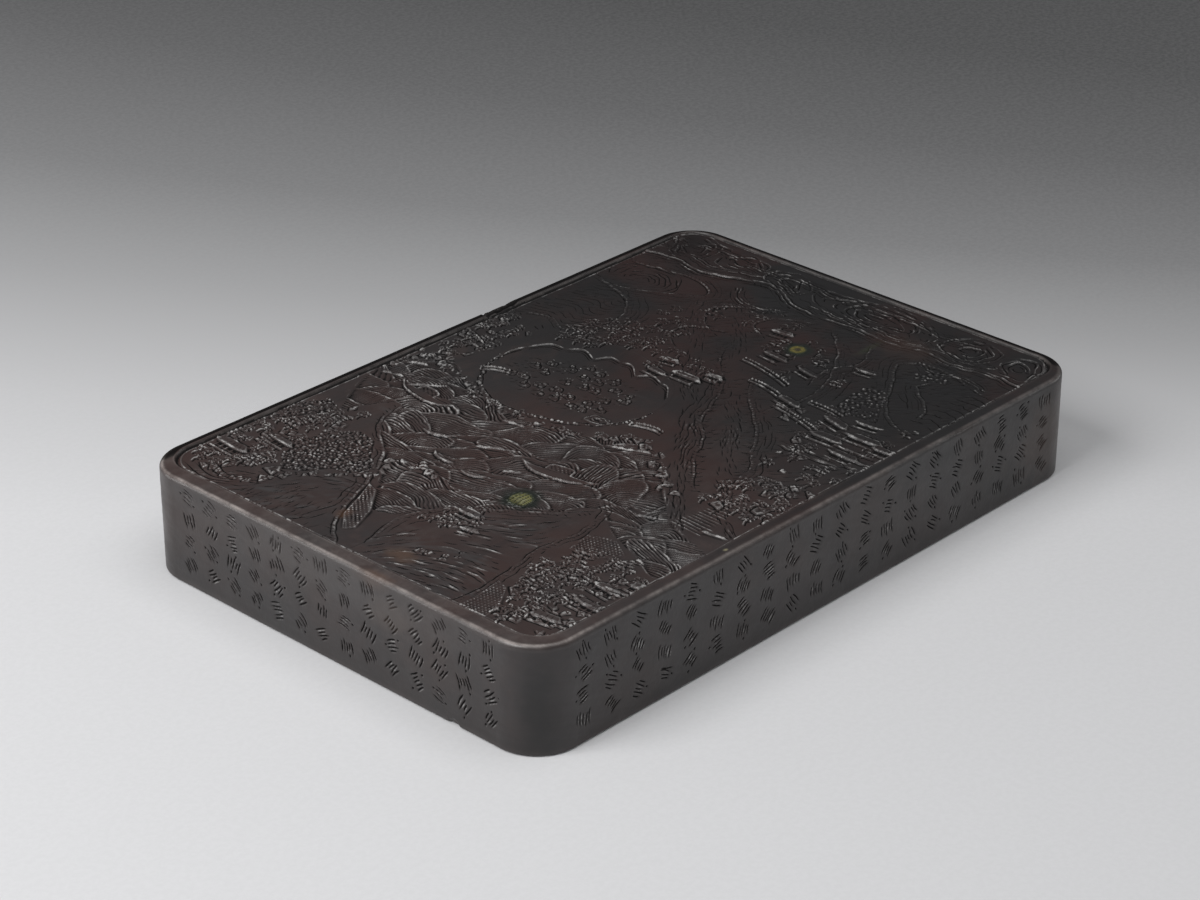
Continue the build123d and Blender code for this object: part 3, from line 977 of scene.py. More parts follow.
def top_height(x, y, seats=True):
    """Height of the carved face, rim included."""
    within = inside_rim(x, y) - 0.2 * noise(x, y, 9, 21)
    panel = smooth(within / 1.0)
    rim = -0.06 + 0.05 * noise(x, y, 6, 22)
    carved = -PANEL_DEPTH + sampled(face, relief, x, y) * smooth((within - 0.4) / 1.2)
    border = 0.3 * hump(within, 2.3, 0.4) - 0.45 * hump(within, 1.3, 0.45)
    z = HEIGHT + rim * (1 - panel) + (carved + border) * panel
    z = np.minimum(z, HEIGHT)
    if seats:
        for (ex, ey), radius in EYES.values():
            z = z - EYE_SEAT * smooth((radius - EYE_LAP - np.hypot(x - ex, y - ey)) / 0.3)
    return z


def side_path(a, b, r, count):
    """Points and outward normals up the +X side of a rounded rectangle, from corner to corner."""
    arc, straight = math.pi / 2 * r, 2 * (b - r)
    s = np.linspace(0, 2 * arc + straight, count + 1)
    first, last = s < arc, s > arc + straight
    angle = np.where(first, s / r - math.pi / 2, np.where(last, (s - arc - straight) / r, 0))
    x = a - r + r * np.cos(angle)
    y = np.where(first, r - b + r * np.sin(angle), np.where(last, b - r + r * np.sin(angle), s - arc + r - b))
    return x, y, np.cos(angle), np.sin(angle)


# The mesh: cells along and across the top, rings down the side, and how many points of the wall there are
# to one of the underside.
COLUMNS, ROWS = ((880, 590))
WALL_ROWS = 110
COARSE_STEP = 10


def grid_faces(index):
    """Quads of a grid of vertex numbers."""
    return np.stack([index[:-1, :-1], index[:-1, 1:], index[1:, 1:], index[1:, :-1]], -1).reshape(-1, 4)


# The underside's rings, as (distance in from the edge of the flat top, height).
UNDERSIDE_RINGS = (
    (1.0, 0.0),
    (FOOT_BAND - TOP_ROUND - 0.6, 0.0),
    (FOOT_BAND - TOP_ROUND - 0.15, 0.25),
    (FOOT_BAND - TOP_ROUND, 0.7),
    (FOOT_BAND - TOP_ROUND + 0.5, FOOT_RECESS),
)


def band_faces(above, below):
    """Quads between two rings of vertex numbers."""
    return np.stack([above, below, np.roll(below, -1), np.roll(above, -1)], -1)


def top_grid():
    """The carved face: its points, the vertex numbers round its edge, and the outward normals there."""
    a, b, r = LENGTH / 2 - TOP_ROUND, WIDTH / 2 - TOP_ROUND, CORNER_RADIUS - TOP_ROUND
    reach, level, nx, ny = side_path(a, b, r, ROWS)
    u = np.linspace(-1, 1, COLUMNS + 1)
    x, y = u[None, :] * reach[:, None], np.broadcast_to(level[:, None], (ROWS + 1, COLUMNS + 1))
    top = np.stack([x, y, top_height(x, y)], -1)
    index = np.arange(top.shape[0] * top.shape[1]).reshape(top.shape[:2])
    loop = np.concatenate([index[0, :-1], index[:-1, -1], index[-1, :0:-1], index[:0:-1, 0]])
    flat = np.zeros(COLUMNS)
    normal = np.stack([np.concatenate([flat, nx[:-1], flat, -nx[:0:-1]]),
                       np.concatenate([flat - 1, ny[:-1], flat + 1, ny[:0:-1]])], 1)
    return top.reshape(-1, 3), grid_faces(index), loop, normal


def wall_rings():
    """The rings down the side, as (distance out from the edge of the flat top, height)."""
    rings = []
    for t in np.linspace(0, math.pi / 2, 11)[1:]:
        rings.append((TOP_ROUND * math.sin(t), HEIGHT - TOP_ROUND + TOP_ROUND * math.cos(t)))
    for z in np.linspace(HEIGHT - TOP_ROUND, BASE_ROUND, WALL_ROWS + 1)[1:]:
        rings.append((TOP_ROUND, z))
    for t in np.linspace(0, math.pi / 2, 7)[1:]:
        rings.append((TOP_ROUND - BASE_ROUND * (1 - math.cos(t)), BASE_ROUND * (1 - math.sin(t))))
    return rings


def stone_shape():
    """The closed stone: points in millimetres, quads and many-sided faces."""
    top, quads, above, normal = top_grid()
    edge = top[above]
    points, faces, count = [top], [quads], len(top)
    for out, z in wall_rings():
        ring = np.column_stack([edge[:, :2] + normal * out, np.full(len(edge), z)])
        ring[:, :2] -= normal * side_depth(ring, normal, z)[:, None]
        here = np.arange(count, count + len(ring))
        points.append(ring)
        faces.append(band_faces(above, here))
        above, count = here, count + len(ring)

    # The underside is plain, so it is made of far fewer points. Many-sided faces join it to the wall.
    few, few_normal = edge[::COARSE_STEP, :2], normal[::COARSE_STEP]
    rings = []
    for inward, z in UNDERSIDE_RINGS:
        points.append(np.column_stack([few - few_normal * inward, np.full(len(few), z)]))
        rings.append(np.arange(count, count + len(few)))
        count += len(few)
    many = []
    for k in range(len(few)):
        arc = [above[(COARSE_STEP * k + m) % len(above)] for m in range(COARSE_STEP + 1)]
        many.append([*arc, rings[0][(k + 1) % len(few)], rings[0][k]][::-1])
    for outer, inner in zip(rings[:-1], rings[1:]):
        faces.append(band_faces(outer, inner))
    many.append(list(rings[-1][::-1]))
    return np.concatenate(points), np.concatenate(faces), many


def side_depth(ring, normal, z):
    """How far the block's side lies inside its plain outline, from marks, unevenness and chips."""
    depth = 0.04 * noise(ring[:, 0] + 3 * z, ring[:, 1] + z, 5, 31) + 0.05
    fade = smooth(min(z - 1.0, HEIGHT - 1.0 - z) / 3)
    for key, across, along in (("x", 0, 1), ("y", 1, 0)):
        field = side_fields[key]
        flat = np.abs(normal[:, across]) > 0.9999
        facing = np.where(normal[:, across] < 0, 1, -1)
        level = np.full(len(ring), z - HEIGHT / 2)
        found = sampled(field, side_marks[key], ring[:, along] * facing, level)
        ends = smooth((field.xs[-1] - np.abs(ring[:, along])) / 2)
        depth = depth - np.where(flat, found * ends * fade, 0)
    chip = np.hypot((ring[:, 1] - FOOT_CHIP_Y) / 3.4, (z - 0.3) / 2.2)
    chip += 0.25 * noise(ring[:, 1], ring[:, 0] + z, 1.2, 33)
    return depth + 0.8 * smooth((1 - chip) / 0.5) * (normal[:, 0] < -0.99)


def notched(points):
    """The points with the nick and the shallow loss taken out of the +Y rim."""
    x, y, z = points.T
    from_nick, from_loss = np.abs(x - NICK_X), np.abs(x - LOSS_X)
    nick = HEIGHT - NICK_FALL * (1 - from_nick / NICK_HALF_WIDTH)
    z = np.where((from_nick < NICK_HALF_WIDTH) & (y > DAMAGED_FROM_Y), np.minimum(z, nick), z)
    loss = HEIGHT - LOSS_FALL * smooth((LOSS_HALF_WIDTH - from_loss) / 3.0) - 0.4 * noise(x, y, 1.8, 35)
    z = np.where((from_loss < LOSS_HALF_WIDTH) & (y > DAMAGED_FROM_Y), np.minimum(z, loss), z)
    return np.column_stack([x, y, z])


def made_mesh(name, points, quads, many, values):
    """A smooth-shaded mesh object, in metres, from millimetre points."""
    mesh = bpy.data.meshes.new(name)
    corners = np.concatenate([quads.ravel(), *[np.asarray(f) for f in many]]).astype(np.int32)
    sizes = np.concatenate([np.full(len(quads), 4), [len(f) for f in many]]).astype(int)
    mesh.vertices.add(len(points))
    mesh.vertices.foreach_set("co", (points * MM).astype(np.float32).ravel())
    mesh.loops.add(len(corners))
    mesh.loops.foreach_set("vertex_index", corners)
    mesh.polygons.add(len(sizes))
    mesh.polygons.foreach_set("loop_start", np.concatenate([[0], np.cumsum(sizes)[:-1]]).astype(np.int32))
    mesh.polygons.foreach_set("use_smooth", np.ones(len(sizes), bool))
    for key, data in values.items():
        attribute = mesh.attributes.new(key, "FLOAT", "POINT")
        attribute.data.foreach_set("value", data.astype(np.float32))
    mesh.update(calc_edges=True)
    mesh.validate()
    piece = bpy.data.objects.new(name, mesh)
    bpy.context.scene.collection.objects.link(piece)
    return piece


# How far along each side a nick's painted highlight and painted shade are shifted from the nick.
NICK_EMBOSS_SHIFT = {"x": 0.35, "y": -0.35}


def side_hollow(points):
    """How deep each point of the sides lies in a nick, or how proud it stands beside one, with a nick's
    painted highlight and shade added.
    """
    hollow, z = np.zeros(len(points)), points[:, 2]
    for key, across, along, half in (("x", 0, 1, LENGTH / 2), ("y", 1, 0, WIDTH / 2)):
        field = side_fields[key]
        near = (np.abs(points[:, across]) > half - 1.5) & (np.abs(points[:, along]) < field.xs[-1]) & (z > 1)
        level, height = points[:, along] * np.where(points[:, across] < 0, 1, -1), z - HEIGHT / 2
        sunk = side_marks[key] - blurred(side_marks[key], 1.2)
        found = sampled(field, sunk, level, height)
        # Painted light and shade: lighter along each nick's lower edge, darker inside its upper edge.
        painted_emboss = found - sampled(field, sunk, level + NICK_EMBOSS_SHIFT[key], height + 0.35)
        hollow = np.where(near, found + 0.45 * painted_emboss, hollow)
    return hollow


def worn_and_highlit_edges(x, z, away, within, far_side):
    """How pale each point is: the top edge, worn and with a painted highlight; the rim's flat; its inner lip,
    with a painted highlight; the worn foot.
    """
    on_rim = z > HEIGHT - 1
    off_front = smooth((x + LENGTH / 2 - 12) / 30)
    # Painted highlight along the top edge, mixed with wear: strongest at the -X end, faint on the two far
    # sides.
    arris = hump(away, 1.1, 0.75) * (z > HEIGHT - TOP_ROUND - 0.6)
    arris = arris * (1 - 0.36 * off_front - 0.15 * smooth(x / 100)) * (1 - 0.9 * far_side)
    flat = smooth((-0.2 - within) / 0.5) * on_rim * (0.13 - 0.11 * off_front) * (1 - far_side)
    # Painted highlight along the rim's inner lip.
    lip = 0.32 * hump(within - 0.8 * far_side, -0.3, 0.42) * on_rim
    lip = lip * (1 - 0.8 * off_front * (1 - far_side))
    foot = 0.15 * hump(z, 1.2, 0.9) * (away < 2)
    return np.maximum(np.maximum(arris, flat), np.maximum(lip, foot))


def build_stone():
    """The stone as a mesh, with what its material needs to know at each point."""
    points, quads, many = stone_shape()
    points = notched(points)
    x, y, z = points.T
    away = inside_rounded(x, y, LENGTH / 2, WIDTH / 2, CORNER_RADIUS)
    within = inside_rim(x, y)
    far_side = smooth((np.maximum(x - LENGTH / 2, y - WIDTH / 2) + 8) / 4)
    on_top = smooth((away - 1.0) / 1.5) * (z > HEIGHT / 2)
    carved = smooth((within - 1.0) / 1.2) * on_top
    # Painted highlight on the raised line round the panel, and painted shade in the groove inside the rim.
    border = 0.20 * hump(within, 2.3, 0.4) - 0.14 * hump(within, 0.8, 0.7)
    # Painted shade on the tops of the two far rims.
    far_rim_shade = 0.3 * far_side * smooth((-0.1 - within) / 0.5) * (z > HEIGHT - TOP_ROUND)
    hollow = carved * sampled(face, fine, x, y) + (1 - on_top) * side_hollow(points)
    values = {
        "hollow": hollow + border * (z > HEIGHT / 2) - far_rim_shade,
        "form": carved * sampled(face, coarse, x, y),
        "bloom_and_sheen": carved * sampled(face, face.bloom_and_sheen, x, y),
        "panel": on_top,
        "wear_and_highlight": worn_and_highlit_edges(x, z, away, within, far_side),
    }
    return made_mesh("inkstone_block", points, quads, many, values)


def build_eye(name):
    """A disc of pale mineral that carries the carving across it."""
    (ex, ey), radius = EYES[name]
    spokes, rings = 128, 34
    angle = np.linspace(0, 2 * math.pi, spokes, endpoint=False)
    wander = radius * (1 + 0.035 * np.sin(2 * angle + 0.6) + 0.02 * np.sin(5 * angle))

    def around(share):
        """A ring at this share of the eye's reach."""
        return ex + share * wander * np.cos(angle), ey + share * wander * np.sin(angle)

    points = []
    for share in np.linspace(0.02, 1, rings):
        x, y = around(share)
        lip = -0.10 * smooth((share - 0.94) / 0.06)
        points.append(np.column_stack([x, y, top_height(x, y, seats=False) + 0.07 + lip]))
    surface = top_height(np.array(ex), np.array(ey), seats=False)
    for share, drop in ((0.97, 0.8), (0.9, 1.3), (0.5, 1.35), (0.02, 1.35)):
        points.append(np.column_stack([*around(share), np.full(spokes, surface - drop)]))
    points = np.concatenate(points)
    index = np.arange(len(points)).reshape(-1, spokes)
    index = np.hstack([index, index[:, :1]])
    quads = grid_faces(index)[:, ::-1]
    hollow = sampled(face, fine, points[:, 0], points[:, 1])
    ends = [list(index[0, :-1]), list(index[-1, -2::-1])]
    return made_mesh(name + "_face", points, quads, ends, {"hollow": hollow})


# ---- Materials

class Tree:
    """Short calls for building a material's nodes."""

    def __init__(self, name):
        self.material = bpy.data.materials.new(name)
        self.material.use_nodes = True
        self.nodes = self.material.node_tree.nodes
        self.links = self.material.node_tree.links
        self.shader = next(n for n in self.nodes if n.type == "BSDF_PRINCIPLED")
        self.place = self.add("ShaderNodeTexCoord").outputs["Object"]

    def add(self, kind, **settings):
        """A new node of this kind."""
        node = self.nodes.new(kind)
        for key, value in settings.items():
            setattr(node, key, value)
        return node

    def put(self, socket, value):
        """Links a socket, or sets it to a plain value."""
        if isinstance(value, bpy.types.NodeSocket):
            self.links.new(value, socket)
        else:
            socket.default_value = value

    def value(self, name):
        """A value stored on the mesh."""
        return self.add("ShaderNodeAttribute", attribute_name=name).outputs["Fac"]

    def noise(self, scale, detail=4, rough=0.55, stretch=None, distortion=0.0):
        """Noise from 0 to 1. The stretch is given as (scale, rotation) of its coordinates."""
        node = self.add("ShaderNodeTexNoise")
        place = self.place
        if stretch:
            mapping = self.add("ShaderNodeMapping")
            self.put(mapping.inputs["Vector"], place)
            mapping.inputs["Scale"].default_value, mapping.inputs["Rotation"].default_value = stretch
            place = mapping.outputs["Vector"]
        self.put(node.inputs["Vector"], place)
        settings = {"Scale": scale, "Detail": detail, "Roughness": rough, "Distortion": distortion}
        for key, value in settings.items():
            node.inputs[key].default_value = value
        return node.outputs["Fac"]

    def along(self, x, y):
        """How far a point lies from the origin along this level direction."""
        node = self.add("ShaderNodeVectorMath", operation="DOT_PRODUCT")
        self.put(node.inputs[0], self.place)
        node.inputs[1].default_value = (x, y, 0)
        return node.outputs["Value"]

    def math(self, kind, a, b, clamp=False):
        """One step of arithmetic."""
        node = self.add("ShaderNodeMath", operation=kind, use_clamp=clamp)
        self.put(node.inputs[0], a)
        self.put(node.inputs[1], b)
        return node.outputs[0]

    def times(self, a, b, clamp=False):
        """The product of two values."""
        return self.math("MULTIPLY", a, b, clamp)

    def range(self, value, low_in, high_in, low_out=0.0, high_out=1.0):
        """A value eased from one range to another, and held at the ends."""
        node = self.add("ShaderNodeMapRange", interpolation_type="SMOOTHSTEP")
        for key, v in zip(("Value", "From Min", "From Max", "To Min", "To Max"),
                          (value, low_in, high_in, low_out, high_out)):
            self.put(node.inputs[key], v)
        return node.outputs["Result"]

    def mix(self, share, a, b):
        """Colour a with this share of colour b over it."""
        node = self.add("ShaderNodeMix", data_type="RGBA")
        share_in, _, _, _, _, _, a_in, b_in = node.inputs[:8]
        self.put(share_in, share)
        for socket, colour in ((a_in, a), (b_in, b)):
            self.put(socket, (*colour, 1.0) if isinstance(colour, tuple) else colour)
        return node.outputs[2]

    def near(self, middle, radii, soft, ragged, scale):
        """1 close to a point in millimetres, falling to 0 at the radii, with a ragged edge."""
        mapping = self.add("ShaderNodeMapping", vector_type="TEXTURE")
        self.put(mapping.inputs["Vector"], self.place)
        mapping.inputs["Location"].default_value = [v * MM for v in middle]
        mapping.inputs["Scale"].default_value = [v * MM for v in radii]
        length = self.add("ShaderNodeVectorMath", operation="LENGTH")
        self.put(length.inputs[0], mapping.outputs["Vector"])
        swing = self.math("SUBTRACT", self.noise(scale), 0.5)
        away = self.math("ADD", length.outputs["Value"], self.times(swing, ragged))
        return self.range(away, 1.0, 1.0 - soft)

    def bump(self, height, distance, normal=None):
        """A bumped normal, this many millimetres deep, over another one."""
        node = self.add("ShaderNodeBump")
        node.inputs["Distance"].default_value = distance * MM
        node.inputs["Strength"].default_value = 1.0
        self.put(node.inputs["Height"], height)
        if normal:
            self.put(node.inputs["Normal"], normal)
        return node.outputs["Normal"]


# Colours of the slate, as linear red, green and blue.
LIVER = (0.045, 0.0255, 0.0225)
SMOKE = (0.0320, 0.0275, 0.0275)
MOTTLE = (0.054, 0.038, 0.0350)
DARK_BAND = (0.015, 0.015, 0.0155)
GRAIN = (0.055, 0.046, 0.043)
HIGH_SPOT = (0.050, 0.047, 0.047)
# The next grey is partly the slate's tone and partly painted sheen.
BLOOM_AND_SHEEN = (0.060, 0.060, 0.061)
# The two far colours are redder, as the slate is there, and darker, which is painted shade.
FAR_LIVER = (0.0215, 0.0085, 0.0076)
FAR_BLACK = (0.0062, 0.0062, 0.0066)
# The next colour is painted shade for the insides of the cuts.
CUT_SHADE = (0.0035, 0.003, 0.003)
# The next colour is a painted highlight: glints on the edges beside the cuts.
PAINTED_GLINT = (0.46, 0.45, 0.44)
# The next colour is partly wear and partly a painted highlight on the edges.
WORN_AND_HIGHLIGHT = (0.40, 0.355, 0.335)
FLANK_GREY = (0.0265, 0.0245, 0.0250)
FLANK_BROWN = (0.036, 0.0255, 0.0230)
FLANK_FOOT = (0.011, 0.0105, 0.0105)
EYE_HALO = (0.007, 0.011, 0.008)

# Stains, and patches of painted light and shade, as (middle, radii, strength, colour), in millimetres.
STAINS_AND_PAINTED_LIGHT = (
    ((-131, -17, HEIGHT - 2), (6, 9, 5), 0.32, (0.15, 0.085, 0.05)),
    ((-148.5, -22, HEIGHT - 2), (4, 13, 6), 0.35, (0.17, 0.09, 0.055)),
    ((-150, -30, HEIGHT - 12), (3, 16, 9), 0.22, (0.13, 0.085, 0.06)),
    ((-124, 20, HEIGHT - 2), (5, 4, 4), 0.3, (0.14, 0.07, 0.04)),
    ((109, -30, HEIGHT - 2), (12, 2.6, 4), 0.3, (0.040, 0.048, 0.025)),
    ((118, -40, HEIGHT - 2), (14, 22, 5), 0.30, (0.06, 0.032, 0.024)),
    # A brownish tint with painted light, at the far end of the -Y side.
    ((134, -101, 20), (30, 6, 26), 0.75, (0.062, 0.044, 0.038)),
    # Painted light on the upper part of the -X side.
    ((-151, 0, HEIGHT - 6), (4, 112, 17), 0.6, (0.066, 0.058, 0.056)),
    # Painted shade on the near vertical corner.
    ((-146, -98, 19), (11, 11, 30), 0.75, (0.0085, 0.008, 0.008)),
    # Darkens the far corner of the top.
    ((130, 88, HEIGHT - 2), (24, 20, 6), 0.6, (0.008, 0.005, 0.005)),
    # Painted shade along the top of the -Y rim.
    ((30, -97.4, HEIGHT), (140, 3.4, 2.5), 0.7, (0.012, 0.011, 0.0115)),
    ((-53, -98, HEIGHT - 1), (1.6, 1.1, 2), 0.7, (0.36, 0.33, 0.20)),
)


def stone_ground(t, x):
    """The slate's colour: cloudy and mottled, and redder towards +X; its darkening towards +X is painted
    shade.
    """
    cloud = t.noise(14, 5, 0.6)
    mottle = t.noise(75, 6, 0.62, distortion=0.6)
    grain = t.noise(900, 3, 0.6)
    bands = t.noise(10, 5, 0.6, stretch=((1.0, 9.0, 1.0), (0, 0, 0.35)), distortion=0.3)
    streaks = t.noise(160, 6, 0.65, stretch=((1.0, 0.22, 1.0), (0, 0, 0.75)))

    colour = t.mix(t.range(cloud, 0.35, 0.68), LIVER, SMOKE)
    colour = t.mix(t.range(mottle, 0.45, 0.75), colour, MOTTLE)
    colour = t.mix(t.range(bands, 0.55, 0.75, 0.0, 0.45), colour, DARK_BAND)
    colour = t.mix(t.range(grain, 0.62, 0.8, 0.0, 0.5), colour, GRAIN)
    high = t.range(t.value("form"), 0.0, 0.45)
    high_spots = t.times(high, t.range(t.noise(48, 5, 0.65), 0.42, 0.62))
    colour = t.mix(t.times(high_spots, 0.5), colour, HIGH_SPOT)
    # Pale grey streaks where the carving laid them: partly tone, partly painted sheen.
    bloom_and_sheen = t.times(t.value("bloom_and_sheen"), t.range(streaks, 0.38, 0.62), clamp=True)
    colour = t.mix(t.times(bloom_and_sheen, 0.55), colour, BLOOM_AND_SHEEN)
    # Towards +X the colour turns redder and darker; the darkening is painted shade.
    far_colour_and_shade = t.mix(t.range(cloud, 0.38, 0.60), FAR_LIVER, FAR_BLACK)
    return t.mix(t.range(x, -0.08, 0.09, 0.0, 0.82), colour, far_colour_and_shade)


def flank_over(t, colour, z, hollow, lip, wear_and_highlight, panel):
    """The colour with the greyer, plainer stone of the sides laid over it."""
    flank = t.mix(t.range(t.noise(26, 5, 0.6), 0.4, 0.66), FLANK_GREY, FLANK_BROWN)
    flank = t.mix(t.range(z, 0.030, 0.0, 0.0, 0.6), flank, FLANK_FOOT)
    share = t.times(t.math("SUBTRACT", 1.0, panel), t.range(hollow, -0.12, -0.02, 0.0, 0.75))
    # The sides' colour is kept off the painted highlights on the edges and off the painted glints.
    kept = t.math("MAXIMUM", wear_and_highlight, t.times(lip, 0.6))
    return t.mix(t.times(share, t.math("SUBTRACT", 1.0, kept, True)), colour, flank)


def stained_and_painted_light(t, colour):
    """The colour with dark halos round the eyes, the natural stains, and patches of painted light and shade.
    """
    for (x, y), radius in EYES.values():
        halo = t.near((x, y, HEIGHT - 2), (radius * 1.95,) * 3, 0.5, 0.5, 220)
        colour = t.mix(t.times(halo, 0.9), colour, EYE_HALO)
    for middle, radii, strength, tint in STAINS_AND_PAINTED_LIGHT:
        patch_share = t.near(middle, radii, 0.8, 0.9, 150)
        colour = t.mix(t.times(patch_share, strength), colour, tint)
    return colour


def slate():
    """Dark purple-brown slate, honed and waxed, with grey patches partly painted sheen, painted shade in the
    cuts and painted glints beside them, edges partly worn and partly painted highlight, and natural stains
    among patches of painted light and shade.
    """
    t = Tree("slate_purple_waxed")
    hollow, wear_and_highlight, panel = t.value("hollow"), t.value("wear_and_highlight"), t.value("panel")
    spread = t.add("ShaderNodeSeparateXYZ")
    t.put(spread.inputs[0], t.place)
    x, z = spread.outputs["X"], spread.outputs["Z"]

    colour = stone_ground(t, x)
    # Painted shade: the deeper a point lies in a cut, the darker its colour.
    colour = t.mix(t.range(hollow, -0.02, -0.15, 0.0, 0.95), colour, CUT_SHADE)
    # Painted highlights: pale glints on the edges beside the cuts, in patches, fewer towards +X.
    glint_patches = t.range(t.noise(220, 5, 0.75), 0.46, 0.62, 0.18, 1.0)
    lip = t.times(t.range(hollow, 0.08, 0.25), glint_patches)
    lip = t.times(lip, t.range(x, -0.12, 0.14, 0.95, 0.62))
    colour = t.mix(lip, colour, PAINTED_GLINT)
    # Pale edges: partly wear, partly painted highlight.
    pale_edges = t.times(wear_and_highlight, t.range(t.noise(130, 6, 0.7), 0.32, 0.7, 0.25, 1.0))
    colour = t.mix(t.times(pale_edges, 0.85), colour, WORN_AND_HIGHLIGHT)
    colour = flank_over(t, colour, z, hollow, lip, wear_and_highlight, panel)
    t.put(t.shader.inputs["Base Color"], stained_and_painted_light(t, colour))

    rough = t.range(t.noise(60, 5, 0.65), 0.3, 0.7, 0.27, 0.42)
    rough = t.math("ADD", rough, t.range(hollow, -0.02, -0.2, 0.0, 0.3))
    rough = t.math("SUBTRACT", rough, t.times(lip, 0.1))
    rough = t.math("ADD", rough, t.times(t.math("SUBTRACT", 1.0, panel), 0.05), clamp=True)
    t.put(t.shader.inputs["Roughness"], rough)
    t.put(t.shader.inputs["Specular IOR Level"], t.range(hollow, -0.02, -0.2, 0.6, 0.12))

    chisel = t.noise(420, 4, 0.6, stretch=((1.0, 0.28, 1.0), (0, 0, 0.5)))
    normal = t.bump(t.noise(1500, 3, 0.65), 0.03)
    normal = t.bump(chisel, 0.08, normal)
    normal = t.bump(t.noise(150, 4, 0.6), 0.18, normal)
    t.put(t.shader.inputs["Normal"], normal)
    return t.material


def eye_mineral(name, centre, radius, pale, olive, pupil):
    """A natural eye: rings of yellow-green mineral, mottled, with painted shade darkening the carving's cuts
    across it.
    """
    t = Tree(name)
    inner = t.near((*centre, HEIGHT - 2), (radius,) * 3, 1.0, 0.25, 500)
    mottle = t.noise(620, 5, 0.65)
    colour = t.mix(t.range(mottle, 0.35, 0.7), olive, pale)
    colour = t.mix(t.range(inner, 0.05, 0.22, 1.0, 0.0), colour, (0.022, 0.028, 0.014))
    ring = t.times(t.range(inner, 0.30, 0.42), t.range(inner, 0.62, 0.5))
    colour = t.mix(t.times(ring, 0.35), colour, pale)
    if pupil:
        colour = t.mix(t.range(inner, 0.62, 0.86), colour, (0.035, 0.028, 0.014))
    colour = t.mix(t.range(t.noise(1400, 3), 0.62, 0.75, 0.0, 0.6), colour, (0.05, 0.045, 0.02))
    # Painted shade in the carving's cuts across the eye.
    colour = t.mix(t.range(t.value("hollow"), -0.01, -0.16, 0.0, 0.9), colour, (0.018, 0.017, 0.010))
    t.put(t.shader.inputs["Base Color"], colour)
    t.put(t.shader.inputs["Roughness"], t.range(mottle, 0.3, 0.7, 0.32, 0.46))
    t.put(t.shader.inputs["Normal"], t.bump(t.noise(1500, 3, 0.65), 0.05))
    return t.material


def dress(piece, material, node):
    """Gives a piece its material, puts it on the root body, and hides the CAD node it stands for."""
    piece.data.materials.append(material)
    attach(piece, "root")
    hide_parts(node)


dress(build_stone(), slate(), "stone_body")
for node, material_name, pale, olive, pupil in (
        ("stone_eye_large", "eye_mineral_large", (0.150, 0.145, 0.048), (0.075, 0.078, 0.025), False),
        ("stone_eye_small", "eye_mineral_small", (0.150, 0.125, 0.030), (0.075, 0.068, 0.018), True)):
    dress(build_eye(node), eye_mineral(material_name, *EYES[node], pale, olive, pupil), node)


# ---- Stage, light and camera

AZIMUTH = math.radians(-46.59)
ELEVATION = math.radians(27.43)
TARGET = np.array([31.7, 42.0, 0.0]) * MM
DISTANCE = 1.294
LENS = 98.3


# Painted shade on the floor: its grey at distances in metres beyond the stone.
FLOOR_FALLOFF_GREYS = (
    (-0.30, 0.72), (0.00, 0.72), (0.08, 0.62), (0.18, 0.42),
    (0.28, 0.26), (0.42, 0.165), (0.58, 0.115), (1.2, 0.10),
)
FLOOR_HALF = 6.0
FLOOR_HEIGHT = -0.0002


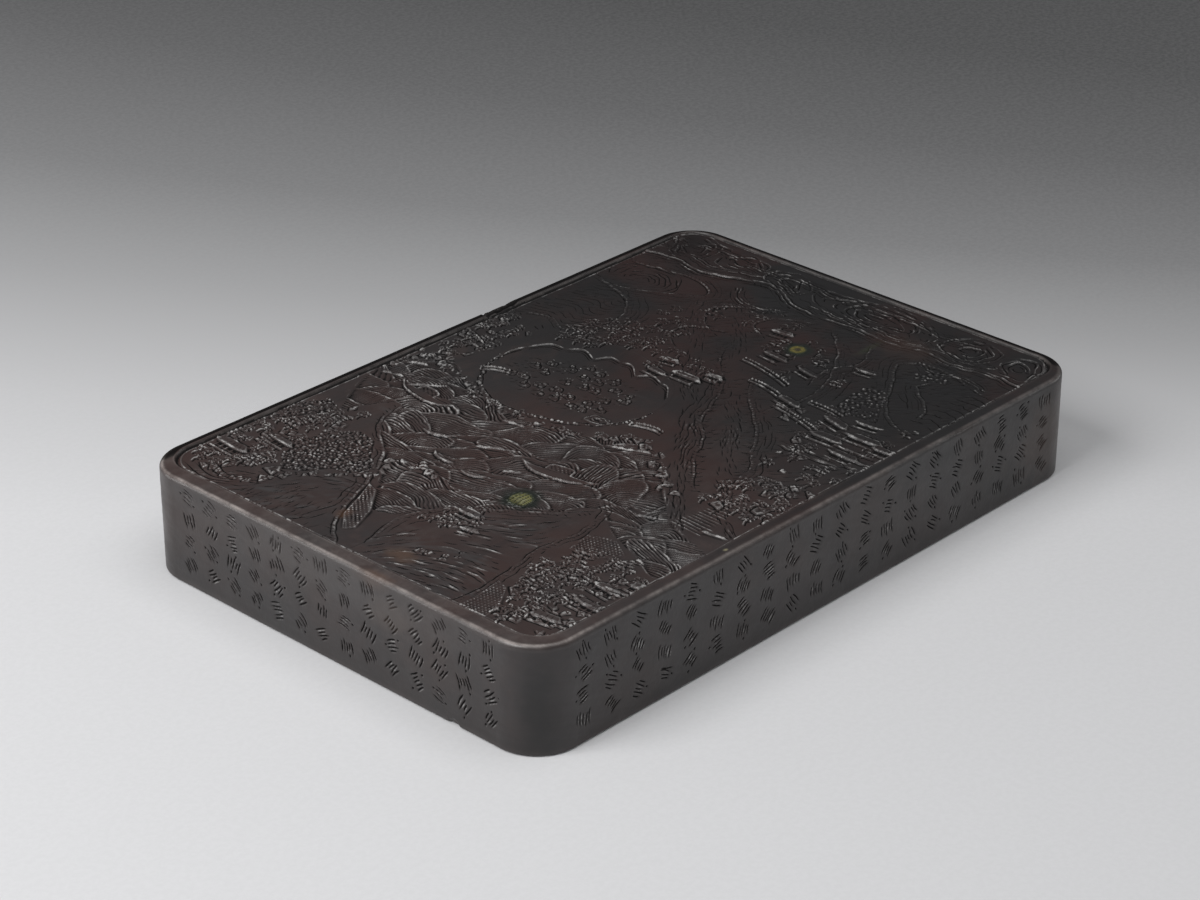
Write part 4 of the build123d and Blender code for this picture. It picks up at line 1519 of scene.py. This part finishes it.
def floor():
    """A pale floor whose colour darkens with distance beyond the stone, more steeply to the right: painted
    shade for light that falls off.
    """
    mesh = bpy.data.meshes.new("floor")
    square = ((-1, -1), (1, -1), (1, 1), (-1, 1))
    corners = [(FLOOR_HALF * x, FLOOR_HALF * y, FLOOR_HEIGHT) for x, y in square]
    mesh.from_pydata(corners, [], [(0, 1, 2, 3)])
    plane = bpy.data.objects.new("floor", mesh)
    bpy.context.scene.collection.objects.link(plane)
    t = Tree("floor_paper_falloff")
    away = t.along(-math.sin(AZIMUTH), math.cos(AZIMUTH))
    ramp = t.add("ShaderNodeValToRGB")
    aside = t.along(math.cos(AZIMUTH), math.sin(AZIMUTH))
    steeper = t.math("ADD", 1.0, t.times(aside, 0.8))
    t.put(ramp.inputs["Fac"], t.range(t.times(away, steeper), -1.0, 2.0))
    ramp.color_ramp.elements.remove(ramp.color_ramp.elements[1])
    for i, (at, grey) in enumerate(FLOOR_FALLOFF_GREYS):
        share = float(smooth((at + 1.0) / 3.0))
        element = ramp.color_ramp.elements[0] if i == 0 else ramp.color_ramp.elements.new(share)
        element.position = share
        element.color = (grey, grey, grey * 1.015, 1)
    fibres = t.range(t.noise(450, 5, 0.7), 0.35, 0.65, 0.0, 0.10)
    paper_and_falloff = t.mix(fibres, ramp.outputs["Color"], (0.5, 0.5, 0.5))
    t.put(t.shader.inputs["Base Color"], paper_and_falloff)
    t.shader.inputs["Roughness"].default_value = 0.9
    t.shader.inputs["Specular IOR Level"].default_value = 0.2
    mesh.materials.append(t.material)


def softbox(name, direction, distance, size, power, aim=(0, 0, 0), shadow=True):
    """A rectangular lamp that shines on its aim from this direction."""
    lamp = bpy.data.lights.new(name, "AREA")
    lamp.shape = "RECTANGLE"
    lamp.size, lamp.size_y = size
    lamp.energy = power
    lamp.use_shadow = shadow
    piece = bpy.data.objects.new(name, lamp)
    way = np.array(direction, float) / np.linalg.norm(direction)
    piece.location = np.array(aim) + way * distance
    piece.rotation_mode = "QUATERNION"
    piece.rotation_quaternion = Vector(-way).to_track_quat("-Z", "Y")
    bpy.context.scene.collection.objects.link(piece)


def world():
    """A dim, even surround."""
    w = bpy.data.worlds.new("studio")
    bpy.context.scene.world = w
    w.use_nodes = True
    background = w.node_tree.nodes["Background"]
    background.inputs["Color"].default_value = (0.95, 0.97, 1.0, 1)
    background.inputs["Strength"].default_value = 0.12


def camera():
    """A long lens, looking down on the near corner of the stone."""
    data = bpy.data.cameras.new("camera")
    data.lens = LENS
    data.sensor_width = 36.0
    data.clip_start, data.clip_end = 0.05, 30
    cam = bpy.data.objects.new("camera", data)
    level = math.cos(ELEVATION)
    back = np.array([math.sin(AZIMUTH) * level, -math.cos(AZIMUTH) * level, math.sin(ELEVATION)])
    cam.location = TARGET + back * DISTANCE
    cam.rotation_euler = (math.pi / 2 - ELEVATION, 0, AZIMUTH)
    bpy.context.scene.collection.objects.link(cam)
    bpy.context.scene.camera = cam


floor()
softbox("key", (-0.70, 0.12, 0.76), 1.6, (1.0, 0.75), 17.0, (-0.06, 0.02, 0.0))
softbox("left strip", (-0.75, 0.8, 0.32), 0.9, (0.6, 0.3), 2.1, (-0.15, 0.06, 0.02), shadow=False)
softbox("overhead", (0.0, -0.25, 1.0), 1.9, (1.6, 1.6), 13.0)
softbox("side", (1.0, -0.42, 0.28), 1.1, (0.6, 0.3), 1.6, (0.13, -0.10, 0.02), shadow=False)
world()
camera()
bpy.context.scene.view_settings.view_transform = "Standard"
